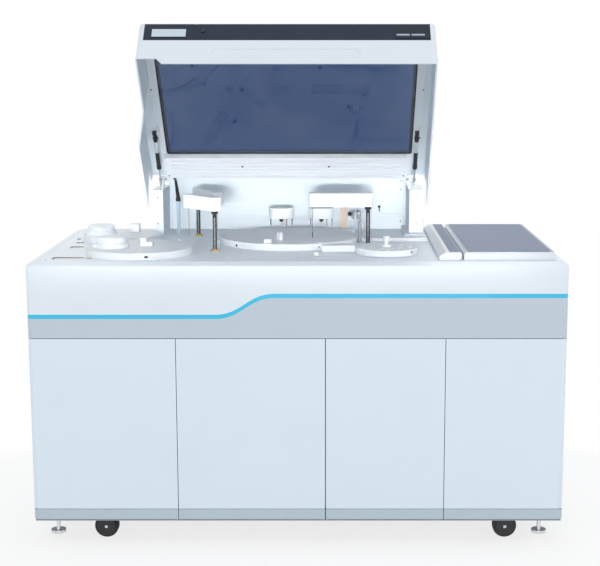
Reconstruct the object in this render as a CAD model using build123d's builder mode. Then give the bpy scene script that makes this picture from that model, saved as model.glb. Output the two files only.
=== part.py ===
"""Floor-standing clinical chemistry analyser with its tinted lid held open.

Millimetres. +X is the user's right, +Y goes from the door side to the back, +Z is up.
The origin is on the floor, under the middle of the cabinet.
"""

import os
from math import atan2, cos, degrees, hypot, radians, sin

from build123d import *

os.makedirs("parts", exist_ok=True)

# ---------------------------------------------------------------- cabinet sizes
width = 1630
depth = 850
floor_gap = 84
bay_top = 660
deck_z = 890
corner_radius = 14
sheet = 3
running_gap = 2
panel_gap = 1

front_y = -depth / 2
back_y = depth / 2
half_width = width / 2

# base frame
base_thickness = 4
base_inset = 4
bay_wall_thickness = 4
bay_wall_x = 84
base_top = floor_gap + base_thickness

# doors
door_seams = [-369, 84, 448]
door_thickness = 22
door_gap = 2
door_bottom_gap = 2
door_pan_depth = 12
door_pan_border = 32
skirt_height = 35
skirt_groove = 1.5
outer_pivot_inset = 10
inner_pivot_inset = 5
inner_edge_radius = 3
pivot_radius = 2.5
pivot_clearance = 0.05
pivot_reach = 14

# upper housing
rim_width = 34
rim_chamfer_out = 28
rim_chamfer_down = 9
rim_thickness = 12
rim_corner = 4
deck_ledge = 10
housing_floor = 4
band_thickness = 3
stripe_height = 13
stripe_left_z = 726
stripe_right_z = 790
stripe_curve_start = -248
stripe_curve_end = -69

# ---------------------------------------------------------------- deck sizes
deck_thickness = 6
disc_rim_height = 21
disc_wall = 4
cover_thickness = 3

front_reagent_x = -501
front_reagent_y = front_y + 215
front_reagent_radius = 165
rear_reagent_x = -600
rear_reagent_y = front_y + 520
rear_reagent_radius = 130
tub_depth = 130
carousel_clearance = 6
carousel_height = 92
bottle_pockets = 12
bottle_pocket_radius = 13
spindle_radius = 10

reaction_x = -38
reaction_y = front_y + 483
reaction_radius = 229
cuvette_count = 48
cuvette_size = 7

sample_x = 275
sample_y = front_y + 203
sample_radius = 98
sample_tubes = 16
sample_tube_radius = 7

# ---------------------------------------------------------------- rear tower and lid
hinge_drop = 20
lid_top_y = back_y - 145.6
lid_top_z = deck_z + 203.4
lid_elevation = 48
lid_length = 680
lid_rear = 6
lid_front_depth = 178
lid_cheek_depth = 154
lid_tip_depth = 160
lid_wall = 5
lid_left = -491
lid_left_flare = 33
lid_left_wide = lid_left - lid_left_flare
lid_right = 424
lid_right_flare = 7
lid_right_wide = lid_right + lid_right_flare
wing_start = 455
wing_end = 290
window_left_margin = 37
window_left = lid_left + window_left_margin
window_right_margin = 51
window_right = lid_right - window_right_margin
window_rear = 120
window_front_margin = 40
window_front = lid_length - window_front_margin
window_lap = 8
window_thickness = 5
gasket_width = 3.5
side_rail_depth = 13
side_rail_width = 26
rear_rail_depth = 28
rear_rail_end = 116
rear_rail_start = 14

post_width = 36
left_post_left = lid_left_wide + 10
left_post_right = left_post_left + post_width
right_post_inset = 12
right_post_width = 47
right_post_right = lid_right_wide - right_post_inset
right_post_left = right_post_right - right_post_width
post_front = back_y - 210
post_top = 1046
beam_front = back_y - 134
beam_bottom = 1084
rear_wall_y = back_y - 12
hinge_pin_radius = 5
hinge_lug_radius = 10
plinth_height = 10
plinth_front = back_y - 260
plinth_left = lid_right - 70
plinth_right = lid_right

strut_x = [lid_left + 5, lid_right - 36]
strut_lower_forward = 27.5
strut_lower_down = 12
strut_upper_u = 240
strut_upper_v = 34
strut_tube_radius = 7
strut_rod_radius = 3

# ---------------------------------------------------------------- running gear
caster_x = half_width - 187
caster_y = back_y - 100
caster_trail = 21
wheel_radius = 37.5
wheel_width = 26
foot_x = half_width - 66
foot_y = back_y - 40
foot_radius = 23
foot_pad = 9
foot_stem_radius = 6
foot_rest_z = 36

# the lid's own planes: the sheet plane, seen from above, and the side plane
lid_tilt = radians(lid_elevation)
lid_normal = (0, sin(lid_tilt), cos(lid_tilt))
lid_back = (0, cos(lid_tilt), -sin(lid_tilt))
lid_sheet = Plane(origin=(0, lid_top_y, lid_top_z), x_dir=(1, 0, 0), z_dir=lid_normal)
lid_side = Plane(origin=(0, lid_top_y, lid_top_z), x_dir=lid_back, z_dir=(1, 0, 0))
hinge_y = lid_top_y - hinge_drop * sin(lid_tilt)
hinge_z = lid_top_z - hinge_drop * cos(lid_tilt)


def lid_point(u, v):
    """A point of the lid, u forward from its rear edge line and v below its top, as (Y, Z)."""
    y = lid_top_y - u * cos(lid_tilt) - v * sin(lid_tilt)
    z = lid_top_z + u * sin(lid_tilt) - v * cos(lid_tilt)
    return y, z


def finish(part, name):
    """Labels a finished piece and writes it."""
    part.label = name
    export_step(part, f"parts/{name}.step")


# ---------------------------------------------------------------- base frame
caster_places = [
    (side * caster_x, y) for side in (-1, 1) for y in (-caster_y, caster_y)
]
foot_places = [(side * foot_x, y) for side in (-1, 1) for y in (-foot_y, foot_y)]
foot_clearance = 0.1

with BuildPart() as base_frame:
    with BuildSketch(Plane.XY.offset(floor_gap)):
        Rectangle(width - 2 * base_inset, depth - 2 * base_inset)
    extrude(amount=base_thickness)
    with BuildSketch(Plane.XY.offset(base_top)):
        with Locations((bay_wall_x, 10)):
            Rectangle(bay_wall_thickness, depth - 80)
    extrude(amount=bay_top - base_top)
    with BuildSketch(Plane.XY.offset(floor_gap)):
        with Locations(*foot_places):
            Circle(foot_stem_radius + foot_clearance)
    extrude(amount=base_thickness, mode=Mode.SUBTRACT)
finish(base_frame.part, "base_frame")

# ---------------------------------------------------------------- side and rear panels
panel_bottom = base_top
panel_top = bay_top
side_front = front_y + door_thickness + running_gap + panel_gap
side_length = back_y - sheet - panel_gap - side_front
louvre_count = 7
louvre_pitch = 18
louvre_length = 160
louvre_height = 5
louvre_z = 520

with BuildPart() as side_panels:
    with BuildSketch(Plane.XY.offset(panel_bottom)):
        for side in (-1, 1):
            with Locations((side * (half_width - sheet / 2), side_front + side_length / 2)):
                Rectangle(sheet, side_length)
    extrude(amount=panel_top - panel_bottom)
    with BuildSketch(Plane.YZ.offset(-half_width)):
        with Locations((150, louvre_z)):
            with GridLocations(1, louvre_pitch, 1, louvre_count):
                SlotOverall(louvre_length, louvre_height)
    extrude(amount=width, mode=Mode.SUBTRACT)

fan_x = [260, 470]
fan_z = 500
fan_slots = 5
fan_slot_length = 90
fan_slot_pitch = 20
inlet_x = 660
inlet_z = 180
inlet_plate_width = 60
inlet_plate_height = 84

with BuildPart() as rear_panel:
    with BuildSketch(Plane.XZ.offset(-back_y)):
        with Locations((0, (panel_bottom + panel_top) / 2)):
            Rectangle(width, panel_top - panel_bottom)
    extrude(amount=sheet)
    with BuildSketch(Plane.XZ.offset(-back_y)):
        for x in fan_x:
            with Locations((x, fan_z)):
                with GridLocations(1, fan_slot_pitch, 1, fan_slots):
                    SlotOverall(fan_slot_length, louvre_height * 2)
        with Locations((inlet_x, inlet_z)):
            Rectangle(inlet_plate_width + panel_gap, inlet_plate_height + panel_gap)
    extrude(amount=sheet, mode=Mode.SUBTRACT)

with BuildPart() as cabinet_panels:
    add(side_panels.part)
    add(rear_panel.part)
finish(cabinet_panels.part, "cabinet_panels")

# ---------------------------------------------------------------- upper housing, band and stripe
curve_run = stripe_curve_end - stripe_curve_start
housing_bottom = bay_top


def stripe_line(z_shift):
    """The stripe's S-shaped line on the front, from the left end to the right end."""
    left_z = stripe_left_z + z_shift
    right_z = stripe_right_z + z_shift
    Line((-half_width - 10, left_z), (stripe_curve_start, left_z))
    Spline(
        (stripe_curve_start, left_z),
        (stripe_curve_start + curve_run / 2, (left_z + right_z) / 2),
        (stripe_curve_end, right_z),
        tangents=((1, 0), (1, 0)),
    )
    Line((stripe_curve_end, right_z), (half_width + 10, right_z))


def zone(low, high):
    """The space across the cabinet between two heights that may follow the stripe's line."""
    with BuildPart() as space:
        with BuildSketch(Plane.XZ.offset(depth / 2 + 10)):
            with BuildLine():
                stripe_line(high)
                Line((half_width + 10, stripe_right_z + high), (half_width + 10, low[1]))
                if low[2]:
                    stripe_line(low[2])
                else:
                    Line((half_width + 10, low[1]), (-half_width - 10, low[0]))
                Line((-half_width - 10, low[0]), (-half_width - 10, stripe_left_z + high))
            make_face()
        extrude(amount=-(depth + 10 - sheet))
    return space.part


half_stripe = stripe_height / 2
band_zone = zone((housing_bottom, housing_bottom, None), -half_stripe)
stripe_zone = zone(
    (stripe_left_z - half_stripe, stripe_right_z - half_stripe, -half_stripe), half_stripe
)


def rounded_outline(inset):
    """The cabinet's outline in plan, drawn in by a distance."""
    RectangleRounded(width - 2 * inset, depth - 2 * inset, corner_radius - inset)


with BuildPart() as band_ring:
    with BuildSketch(Plane.XY.offset(housing_bottom)):
        rounded_outline(0)
        RectangleRounded(
            width - 2 * band_thickness,
            depth - 2 * band_thickness,
            corner_radius - band_thickness,
            mode=Mode.SUBTRACT,
        )
    extrude(amount=deck_z - rim_chamfer_down - housing_bottom)

with BuildPart() as front_band:
    add(band_ring.part)
    add(band_zone, mode=Mode.INTERSECT)
finish(front_band.part, "front_band")

with BuildPart() as accent_stripe:
    add(band_ring.part)
    add(stripe_zone, mode=Mode.INTERSECT)
finish(accent_stripe.part, "accent_stripe")

with BuildPart() as upper_housing:
    with BuildSketch(Plane.XY.offset(housing_bottom)):
        rounded_outline(0)
    extrude(amount=deck_z - rim_chamfer_down - housing_bottom)
    with BuildSketch(Plane.XY.offset(deck_z - rim_chamfer_down)):
        rounded_outline(0)
    with BuildSketch(Plane.XY.offset(deck_z)):
        RectangleRounded(width - 2 * rim_chamfer_out, depth - 2 * rim_chamfer_out, rim_corner)
    loft()
    with BuildSketch(Plane.XY.offset(housing_bottom + housing_floor)):
        rounded_outline(band_thickness + sheet)
    extrude(amount=deck_z - rim_thickness - housing_bottom - housing_floor, mode=Mode.SUBTRACT)
    with BuildSketch(Plane.XY.offset(deck_z - rim_thickness)):
        Rectangle(width - 2 * (rim_width + deck_ledge), depth - 2 * (rim_width + deck_ledge))
    extrude(amount=rim_thickness, mode=Mode.SUBTRACT)
    with BuildSketch(Plane.XY.offset(deck_z - deck_thickness)):
        Rectangle(width - 2 * rim_width, depth - 2 * rim_width)
    extrude(amount=deck_thickness, mode=Mode.SUBTRACT)
    add(front_band.part, mode=Mode.SUBTRACT)
    add(accent_stripe.part, mode=Mode.SUBTRACT)
finish(upper_housing.part, "upper_housing")

# ---------------------------------------------------------------- probe arms' sizes
# shaft's place, needle's place from the shaft, top and needle tip above the deck, swing to a port
probe_arms = {
    "front_reagent_arm": dict(x=-267, y=front_y + 254, dx=-92, dy=100, top=172, tip=36, turn=-63.8),
    "rear_reagent_arm": dict(x=-355, y=front_y + 626, dx=78, dy=-153, top=166, tip=36, turn=-86),
    "sample_arm": dict(x=222, y=front_y + 386, dx=-181, dy=0, top=172, tip=25, turn=0),
}
reagent_pickup_turn = 31.2
reagent_drop_turn = 13
arm_height = 44
arm_width = 36
arm_tail = 16
arm_nose = 10
arm_skin = 4
shaft_radius = 6.5
shaft_collar_radius = 11
shaft_collar_height = 9
shaft_reach = 120
shaft_clearance = 0.1
bush_wall = 4.5
bush_flange = 14.5
bush_flange_height = 6
bush_depth = 90
needle_radius = 1.2
needle_port = 8

mixers = {"left_mixer": -71, "right_mixer": 68}
mixer_y = front_y + 668
mixer_head_bottom = 56
mixer_head_top = 93
mixer_head_width = 84
mixer_head_depth = 56
paddle_tip = -22


def swing_point(arm, turn):
    """Where an arm's needle stands after a turn about its shaft, in plan."""
    c, s = cos(radians(turn)), sin(radians(turn))
    return arm["x"] + arm["dx"] * c - arm["dy"] * s, arm["y"] + arm["dx"] * s + arm["dy"] * c


# ---------------------------------------------------------------- deck plate
reagent_discs = [
    (front_reagent_x, front_reagent_y, front_reagent_radius),
    (rear_reagent_x, rear_reagent_y, rear_reagent_radius),
]
wells = reagent_discs + [
    (reaction_x, reaction_y, reaction_radius),
    (sample_x, sample_y, sample_radius),
]
bush_radius = shaft_radius + bush_wall
# recessed cups at the far left: x, y, length, breadth
deck_cups = [
    (-705, front_y + 103, 94, 56),
    (-641, front_y + 100, 20, 30),
    (-722, front_y + 345, 42, 50),
    (-732, front_y + 453, 26, 40),
    (-752, front_y + 541, 12, 36),
]
cup_depth = 4
cup_corner = 4
# flush oval lids at the front: x, y, length, breadth
deck_ovals = [(-173, front_y + 112, 96, 63), (109, front_y + 128, 112, 74)]
oval_groove = 2
oval_groove_depth = 1.5

with BuildPart() as deck_plate:
    with BuildSketch(Plane.XY.offset(deck_z - deck_thickness)):
        Rectangle(width - 2 * rim_width - panel_gap, depth - 2 * rim_width - panel_gap)
        for x, y, radius in wells:
            with Locations((x, y)):
                Circle(radius - disc_wall, mode=Mode.SUBTRACT)
        for arm in probe_arms.values():
            with Locations((arm["x"], arm["y"])):
                Circle(bush_radius, mode=Mode.SUBTRACT)
            with Locations(swing_point(arm, 0)):
                Circle(needle_port, mode=Mode.SUBTRACT)
    extrude(amount=deck_thickness)
    with BuildSketch(Plane.XY.offset(deck_z)):
        for x, y, length, breadth in deck_cups:
            with Locations((x, y)):
                RectangleRounded(length, breadth, cup_corner)
    extrude(amount=-cup_depth, mode=Mode.SUBTRACT)
    with BuildSketch(Plane.XY.offset(deck_z)):
        for x, y, length, breadth in deck_ovals:
            with Locations((x, y)):
                Ellipse(length / 2, breadth / 2)
                Ellipse(length / 2 - oval_groove, breadth / 2 - oval_groove, mode=Mode.SUBTRACT)
    extrude(amount=-oval_groove_depth, mode=Mode.SUBTRACT)
finish(deck_plate.part, "deck_plate")

# ---------------------------------------------------------------- tubs under the discs
cover_gap = 0.5
split_gap = 1
tub_floor = 4
cover_z = deck_z + disc_rim_height
rim_top = cover_z - cover_thickness - cover_gap
carousel_lift = 4
spindle_shoulder = 6
spindle_fit = 0.05
shoulder_gap = 0.3
tub_inset = disc_wall + panel_gap

ring_top = deck_z - 30
ring_height = 40
basin_bottom = ring_top - ring_height - 2 * tub_floor
basin_top = deck_z - deck_thickness
reaction_inner = reaction_radius - disc_wall
basin_inner = reaction_inner - tub_inset

sample_disc_bottom = deck_z - 60
sample_motor_gap = 24
sample_motor_radius = 40
sample_bore_depth = 40

with BuildPart() as disc_tubs:
    for x, y, radius in reagent_discs:
        with BuildSketch(Plane.XY.offset(deck_z - tub_depth)):
            with Locations((x, y)):
                Circle(radius - tub_inset)
        extrude(amount=tub_depth)
        with BuildSketch(Plane.XY.offset(deck_z)):
            with Locations((x, y)):
                Circle(radius)
        extrude(amount=rim_top - deck_z)
        with BuildSketch(Plane.XY.offset(deck_z - tub_depth + tub_floor)):
            with Locations((x, y)):
                Circle(radius - tub_inset - disc_wall)
        extrude(amount=tub_depth + disc_rim_height, mode=Mode.SUBTRACT)
        with BuildSketch(Plane.XY.offset(deck_z - tub_depth)):
            with Locations((x, y)):
                Circle(spindle_radius)
        extrude(amount=tub_depth - 34)
        with BuildSketch(Plane.XY.offset(deck_z - tub_depth)):
            with Locations((x, y)):
                Circle(spindle_radius + spindle_shoulder)
        extrude(amount=tub_floor + carousel_lift - shoulder_gap)
    with BuildSketch(Plane.XY.offset(basin_bottom)):
        with Locations((reaction_x, reaction_y)):
            Circle(reaction_radius)
    extrude(amount=basin_top - basin_bottom)
    with BuildSketch(Plane.XY.offset(basin_bottom + tub_floor)):
        with Locations((reaction_x, reaction_y)):
            Circle(basin_inner)
    extrude(amount=basin_top - basin_bottom, mode=Mode.SUBTRACT)
    with BuildSketch(Plane.XY.offset(basin_bottom)):
        with Locations((reaction_x, reaction_y)):
            Circle(spindle_radius)
    extrude(amount=ring_height)
    with BuildSketch(Plane.XY.offset(basin_bottom)):
        with Locations((reaction_x, reaction_y)):
            Circle(spindle_radius + spindle_shoulder)
    extrude(amount=2 * tub_floor - shoulder_gap)
    with BuildSketch(Plane.XY.offset(housing_bottom + housing_floor)):
        with Locations((sample_x, sample_y)):
            Circle(sample_motor_radius)
    extrude(amount=sample_disc_bottom - sample_motor_gap - housing_bottom - housing_floor)
    with BuildSketch(Plane.XY.offset(sample_disc_bottom - sample_motor_gap)):
        with Locations((sample_x, sample_y)):
            Circle(spindle_radius)
    extrude(amount=sample_motor_gap + sample_bore_depth - spindle_shoulder)
finish(disc_tubs.part, "disc_tubs")

# ---------------------------------------------------------------- reagent carousels
carousel_bottom = deck_z - tub_depth + tub_floor + carousel_lift
carousel_top = carousel_bottom + carousel_height
pocket_depth = 70
pocket_edge = 7


def carousel(disc, first_angle):
    """A turning tray with two rings of bottle pockets, on a central spindle."""
    x, y, radius = disc
    outer = radius - tub_inset - disc_wall - carousel_clearance
    with BuildPart() as tray:
        with BuildSketch(Plane.XY.offset(carousel_bottom)):
            with Locations((x, y)):
                Circle(outer)
                Circle(spindle_radius + spindle_fit, mode=Mode.SUBTRACT)
        extrude(amount=carousel_height)
        with BuildSketch(Plane.XY.offset(carousel_top)):
            with Locations((x, y)):
                with PolarLocations(outer - pocket_edge - bottle_pocket_radius, bottle_pockets,
                                    start_angle=first_angle):
                    Circle(bottle_pocket_radius)
                with PolarLocations(outer - 3 * (pocket_edge + bottle_pocket_radius),
                                    bottle_pockets // 2, start_angle=first_angle + 15):
                    Circle(bottle_pocket_radius - 2)
        extrude(amount=-pocket_depth, mode=Mode.SUBTRACT)
    return tray.part


def port_angle(disc, point):
    """The direction of a needle port seen from a disc's centre."""
    return degrees(atan2(point[1] - disc[1], point[0] - disc[0]))


front_port = swing_point(probe_arms["front_reagent_arm"], reagent_pickup_turn)
rear_port = swing_point(probe_arms["rear_reagent_arm"], probe_arms["rear_reagent_arm"]["turn"])
finish(carousel(reagent_discs[0], port_angle(reagent_discs[0], front_port)), "front_reagent_carousel")
finish(carousel(reagent_discs[1], port_angle(reagent_discs[1], rear_port)), "rear_reagent_carousel")

# ---------------------------------------------------------------- split reagent covers
dome_radius = [51, 50]
dome_step = [14, 13]
dome_height = [34, 32]
dome_x = [front_reagent_x - 83, rear_reagent_x - 69]
dome_y = [front_reagent_y - 20, rear_reagent_y - 10]
dome_taper = 6
dome_edge = 7
tab_size = (14, 24, 9)


def half_cover(disc, left, bottom):
    """One half of a disc cover: the left one or the right one."""
    x, y, radius = disc
    side = -1 if left else 1
    with BuildPart() as half:
        with BuildSketch(Plane.XY.offset(bottom)):
            with Locations((x, y)):
                Circle(radius)
            with Locations((x - side * (2 * radius - split_gap / 2), y)):
                Rectangle(4 * radius, 4 * radius, mode=Mode.SUBTRACT)
        extrude(amount=cover_z - bottom)
    return half.part


for number, name in enumerate(("front_reagent_cover", "rear_reagent_cover")):
    with BuildPart() as cover:
        add(half_cover(reagent_discs[number], True, cover_z - cover_thickness))
        with BuildSketch(Plane.XY.offset(cover_z)):
            with Locations((dome_x[number], dome_y[number])):
                Circle(dome_radius[number])
        extrude(amount=dome_step[number])
        with BuildSketch(Plane.XY.offset(cover_z + dome_step[number])):
            with Locations((dome_x[number], dome_y[number])):
                Circle(dome_radius[number] - dome_taper)
        extrude(amount=dome_height[number] - dome_step[number])
        fillet(cover.faces().sort_by(Axis.Z)[-1].edges(), dome_edge)
        with BuildSketch(Plane.XY.offset(cover_z)):
            with Locations((dome_x[number] - dome_radius[number], dome_y[number])):
                Rectangle(tab_size[0], tab_size[1])
        extrude(amount=tab_size[2])
    finish(cover.part, name)

with BuildPart() as fixed_covers:
    for disc in reagent_discs:
        add(half_cover(disc, False, rim_top))
    with BuildSketch(Plane.XY.offset(rim_top)):
        with Locations(front_port, rear_port):
            Circle(needle_port)
    extrude(amount=cover_z - rim_top, mode=Mode.SUBTRACT)
finish(fixed_covers.part, "fixed_reagent_covers")

# ---------------------------------------------------------------- reaction disc
front_arm = probe_arms["front_reagent_arm"]
rear_arm = probe_arms["rear_reagent_arm"]
sample_arm = probe_arms["sample_arm"]
sample_drop_turn = 27.7
reaction_ports = [
    swing_point(front_arm, front_arm["turn"]),
    swing_point(rear_arm, reagent_drop_turn),
    swing_point(sample_arm, 0),
    swing_point(sample_arm, sample_drop_turn),
] + [(x, mixer_y) for x in mixers.values()]
reaction_edge = 2

with BuildPart() as reaction_cover:
    with BuildSketch(Plane.XY.offset(deck_z)):
        with Locations((reaction_x, reaction_y)):
            Circle(reaction_radius)
    extrude(amount=disc_rim_height)
    fillet(reaction_cover.faces().sort_by(Axis.Z)[-1].edges(), reaction_edge)
    with BuildSketch(Plane.XY.offset(deck_z)):
        with Locations((reaction_x, reaction_y)):
            Circle(reaction_inner)
    extrude(amount=disc_rim_height - cover_thickness, mode=Mode.SUBTRACT)
    with BuildSketch(Plane.XY.offset(deck_z)):
        with Locations(*reaction_ports):
            Circle(needle_port)
    extrude(amount=disc_rim_height, mode=Mode.SUBTRACT)
finish(reaction_cover.part, "reaction_cover")

inner_row = hypot(swing_point(sample_arm, 0)[0] - reaction_x, swing_point(sample_arm, 0)[1] - reaction_y)
outer_row = hypot(reaction_ports[0][0] - reaction_x, reaction_ports[0][1] - reaction_y)
inner_count = 36
ring_edge = 10
ring_web = 8

with BuildPart() as reaction_ring:
    with BuildSketch(Plane.XY.offset(ring_top - ring_height)):
        with Locations((reaction_x, reaction_y)):
            Circle(outer_row + ring_edge)
            Circle(spindle_radius + spindle_fit, mode=Mode.SUBTRACT)
    extrude(amount=ring_web)
    for row in (inner_row, outer_row):
        with BuildSketch(Plane.XY.offset(ring_top - ring_height)):
            with Locations((reaction_x, reaction_y)):
                Circle(row + ring_edge)
                Circle(row - ring_edge, mode=Mode.SUBTRACT)
        extrude(amount=ring_height)
    with BuildSketch(Plane.XY.offset(ring_top)):
        with Locations((reaction_x, reaction_y)):
            with PolarLocations(outer_row, cuvette_count):
                Rectangle(cuvette_size, cuvette_size)
            with PolarLocations(inner_row, inner_count):
                Rectangle(cuvette_size, cuvette_size)
    extrude(amount=ring_web + tub_floor - ring_height, mode=Mode.SUBTRACT)
finish(reaction_ring.part, "reaction_ring")

# ---------------------------------------------------------------- sample disc
sample_knob_height = 34
knob_seat = 0.1
sample_knob_radius = 10
sample_knob_neck = 7
sample_knob_foot = 14
sample_rows = [(22, sample_tubes), (46, sample_tubes - 6)]
sample_tube_depth = 60

with BuildPart() as sample_disc:
    with BuildSketch(Plane.XY.offset(deck_z + running_gap / 2)):
        with Locations((sample_x, sample_y)):
            Circle(sample_radius)
    extrude(amount=disc_rim_height - running_gap / 2)
    with BuildSketch(Plane.XY.offset(sample_disc_bottom)):
        with Locations((sample_x, sample_y)):
            Circle(sample_radius - disc_wall - carousel_clearance)
    extrude(amount=deck_z + running_gap / 2 - sample_disc_bottom)
    with BuildSketch(Plane.XY.offset(sample_disc_bottom)):
        with Locations((sample_x, sample_y)):
            Circle(spindle_radius + spindle_fit)
    extrude(amount=sample_bore_depth, mode=Mode.SUBTRACT)
    with BuildSketch(Plane.XY.offset(cover_z)):
        with Locations((sample_x, sample_y)):
            for inset, count in sample_rows:
                with PolarLocations(sample_radius - inset, count):
                    Circle(sample_tube_radius)
    extrude(amount=-sample_tube_depth, mode=Mode.SUBTRACT)
    # the centre knob, a piece of its own seated on the disc
    knob_z = cover_z + knob_seat
    with BuildSketch(Plane.XY.offset(knob_z)):
        with Locations((sample_x, sample_y)):
            Circle(sample_knob_foot)
    extrude(amount=sample_knob_height / 5)
    with BuildSketch(Plane.XY.offset(knob_z)):
        with Locations((sample_x, sample_y)):
            Circle(sample_knob_neck)
    extrude(amount=sample_knob_height * 3 / 5)
    with BuildSketch(Plane.XY.offset(knob_z + sample_knob_height * 3 / 5)):
        with Locations((sample_x, sample_y)):
            Circle(sample_knob_radius)
    extrude(amount=sample_knob_height * 2 / 5)
finish(sample_disc.part, "sample_disc")

# ---------------------------------------------------------------- probe arms
arm_corner = 8
arm_edge = 3

for name, arm in probe_arms.items():
    x, y = arm["x"], arm["y"]
    arm_top = deck_z + arm["top"]
    arm_bottom = arm_top - arm_height
    reach = hypot(arm["dx"], arm["dy"])

    with BuildPart() as shaft:
        with BuildSketch(Plane.XY.offset(deck_z - shaft_reach)):
            with Locations((x, y)):
                Circle(shaft_radius)
        extrude(amount=arm_bottom + arm_height / 2 - deck_z + shaft_reach)
        with BuildSketch(Plane.XY.offset(arm_bottom - shaft_collar_height - cover_gap)):
            with Locations((x, y)):
                Circle(shaft_collar_radius)
        extrude(amount=shaft_collar_height)
    finish(shaft.part, f"{name}_shaft")

    arm_plane = Plane(origin=(x, y, arm_bottom), x_dir=(arm["dx"], arm["dy"], 0), z_dir=(0, 0, 1))
    with BuildPart() as cover:
        with BuildSketch(arm_plane):
            with Locations(((reach + arm_nose - arm_tail) / 2, 0)):
                RectangleRounded(reach + arm_nose + arm_tail, arm_width, arm_corner)
        extrude(amount=arm_height)
        fillet(cover.faces().sort_by(Axis.Z)[-1].edges(), arm_edge)
        with BuildSketch(arm_plane):
            with Locations(((reach - 8 + arm_tail + arm_skin) / 2, 0)):
                Rectangle(reach - 8 - arm_tail - arm_skin, arm_width - 2 * arm_skin)
        extrude(amount=arm_height - arm_skin, mode=Mode.SUBTRACT)
        with BuildSketch(arm_plane):
            Circle(shaft_radius + spindle_fit)
        extrude(amount=arm_height / 2 + cover_gap, mode=Mode.SUBTRACT)
        with BuildSketch(Plane.XY.offset(deck_z + arm["tip"])):
            with Locations((x + arm["dx"], y + arm["dy"])):
                Circle(needle_radius)
        extrude(amount=arm_bottom - deck_z - arm["tip"])
    finish(cover.part, name)

with BuildPart() as arm_bushes:
    for arm in probe_arms.values():
        with BuildSketch(Plane.XY.offset(deck_z - bush_depth)):
            with Locations((arm["x"], arm["y"])):
                Circle(bush_radius)
        extrude(amount=bush_depth)
        with BuildSketch(Plane.XY.offset(deck_z)):
            with Locations((arm["x"], arm["y"])):
                Circle(bush_flange)
        extrude(amount=bush_flange_height)
        with BuildSketch(Plane.XY.offset(deck_z - bush_depth)):
            with Locations((arm["x"], arm["y"])):
                Circle(shaft_radius + shaft_clearance)
        extrude(amount=bush_depth + bush_flange_height, mode=Mode.SUBTRACT)
finish(arm_bushes.part, "arm_guide_bushes")

# ---------------------------------------------------------------- mixers
mixer_corner = 22
mixer_edge = 4
tail_width = 34
tail_length = 40
tail_thickness = 14
tail_drop = 20
column_width = 18
column_depth = 30
column_inset = 8
mixer_rod_radius = 4
mixer_rod_length = 60
mixer_rod_fit = 0.08
seat_gap = 0.3
paddle_radius = 2
paddle_blade = (8, 1.6, 14)
cone_top_radius = 11
cone_bottom_radius = 4
cone_height = 12
paddle_seat = 14
column_y = mixer_y + mixer_head_depth / 2 + tail_length - column_inset
tail_bottom = deck_z + mixer_head_top - tail_drop
column_top = tail_bottom - seat_gap

for name, x in mixers.items():
    with BuildPart() as head:
        with BuildSketch(Plane.XY.offset(deck_z + mixer_head_bottom)):
            with Locations((x, mixer_y)):
                RectangleRounded(mixer_head_width, mixer_head_depth, mixer_corner)
        extrude(amount=mixer_head_top - mixer_head_bottom)
        fillet(head.faces().sort_by(Axis.Z)[-1].edges(), mixer_edge)
        with BuildSketch(Plane.XY.offset(deck_z + mixer_head_bottom)):
            with Locations((x, mixer_y)):
                Circle(paddle_radius + mixer_rod_fit)
        extrude(amount=paddle_seat, mode=Mode.SUBTRACT)
        with BuildSketch(Plane.XY.offset(tail_bottom)):
            with Locations((x, mixer_y + mixer_head_depth / 2 + tail_length / 2)):
                Rectangle(tail_width, tail_length)
        extrude(amount=tail_thickness)
        with BuildSketch(Plane.XY.offset(tail_bottom - mixer_rod_length)):
            with Locations((x, column_y)):
                Circle(mixer_rod_radius)
        extrude(amount=mixer_rod_length)
    finish(head.part, f"{name}_head")

    with BuildPart() as paddle:
        with BuildSketch(Plane.XY.offset(deck_z + mixer_head_bottom - seat_gap - cone_height)):
            with Locations((x, mixer_y)):
                Circle(cone_bottom_radius)
        with BuildSketch(Plane.XY.offset(deck_z + mixer_head_bottom - seat_gap)):
            with Locations((x, mixer_y)):
                Circle(cone_top_radius)
        loft()
        with BuildSketch(Plane.XY.offset(deck_z + paddle_tip)):
            with Locations((x, mixer_y)):
                Circle(paddle_radius)
        extrude(amount=mixer_head_bottom + paddle_seat - seat_gap - paddle_tip)
        with BuildSketch(Plane.XY.offset(deck_z + paddle_tip)):
            with Locations((x, mixer_y)):
                Rectangle(paddle_blade[0], paddle_blade[1])
        extrude(amount=paddle_blade[2])
    finish(paddle.part, f"{name}_paddle")

# ---------------------------------------------------------------- fittings on the deck
wash_x = 147
wash_y = front_y + 722
wash_base = (76, 42, 12)
wash_corner = 6
wash_plate = (27, 8, 87)
tube_x = 197
tube_y = front_y + 457
tube_height = 72
tube_radius = 6
wash_rod_radius = 3
wash_head_radius = 17
wash_head_length = 34
wash_head_face = 9
wash_head_offset = 13
wash_neck = 4
wash_rod_length = 50

bridge_x = 131
bridge_y = front_y + 265
bridge_size = (117, 50, 19)
bar_left = 197
bar_right = 424
bar_front = front_y + 485
bar_depth = 70
bar_height = 10

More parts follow.
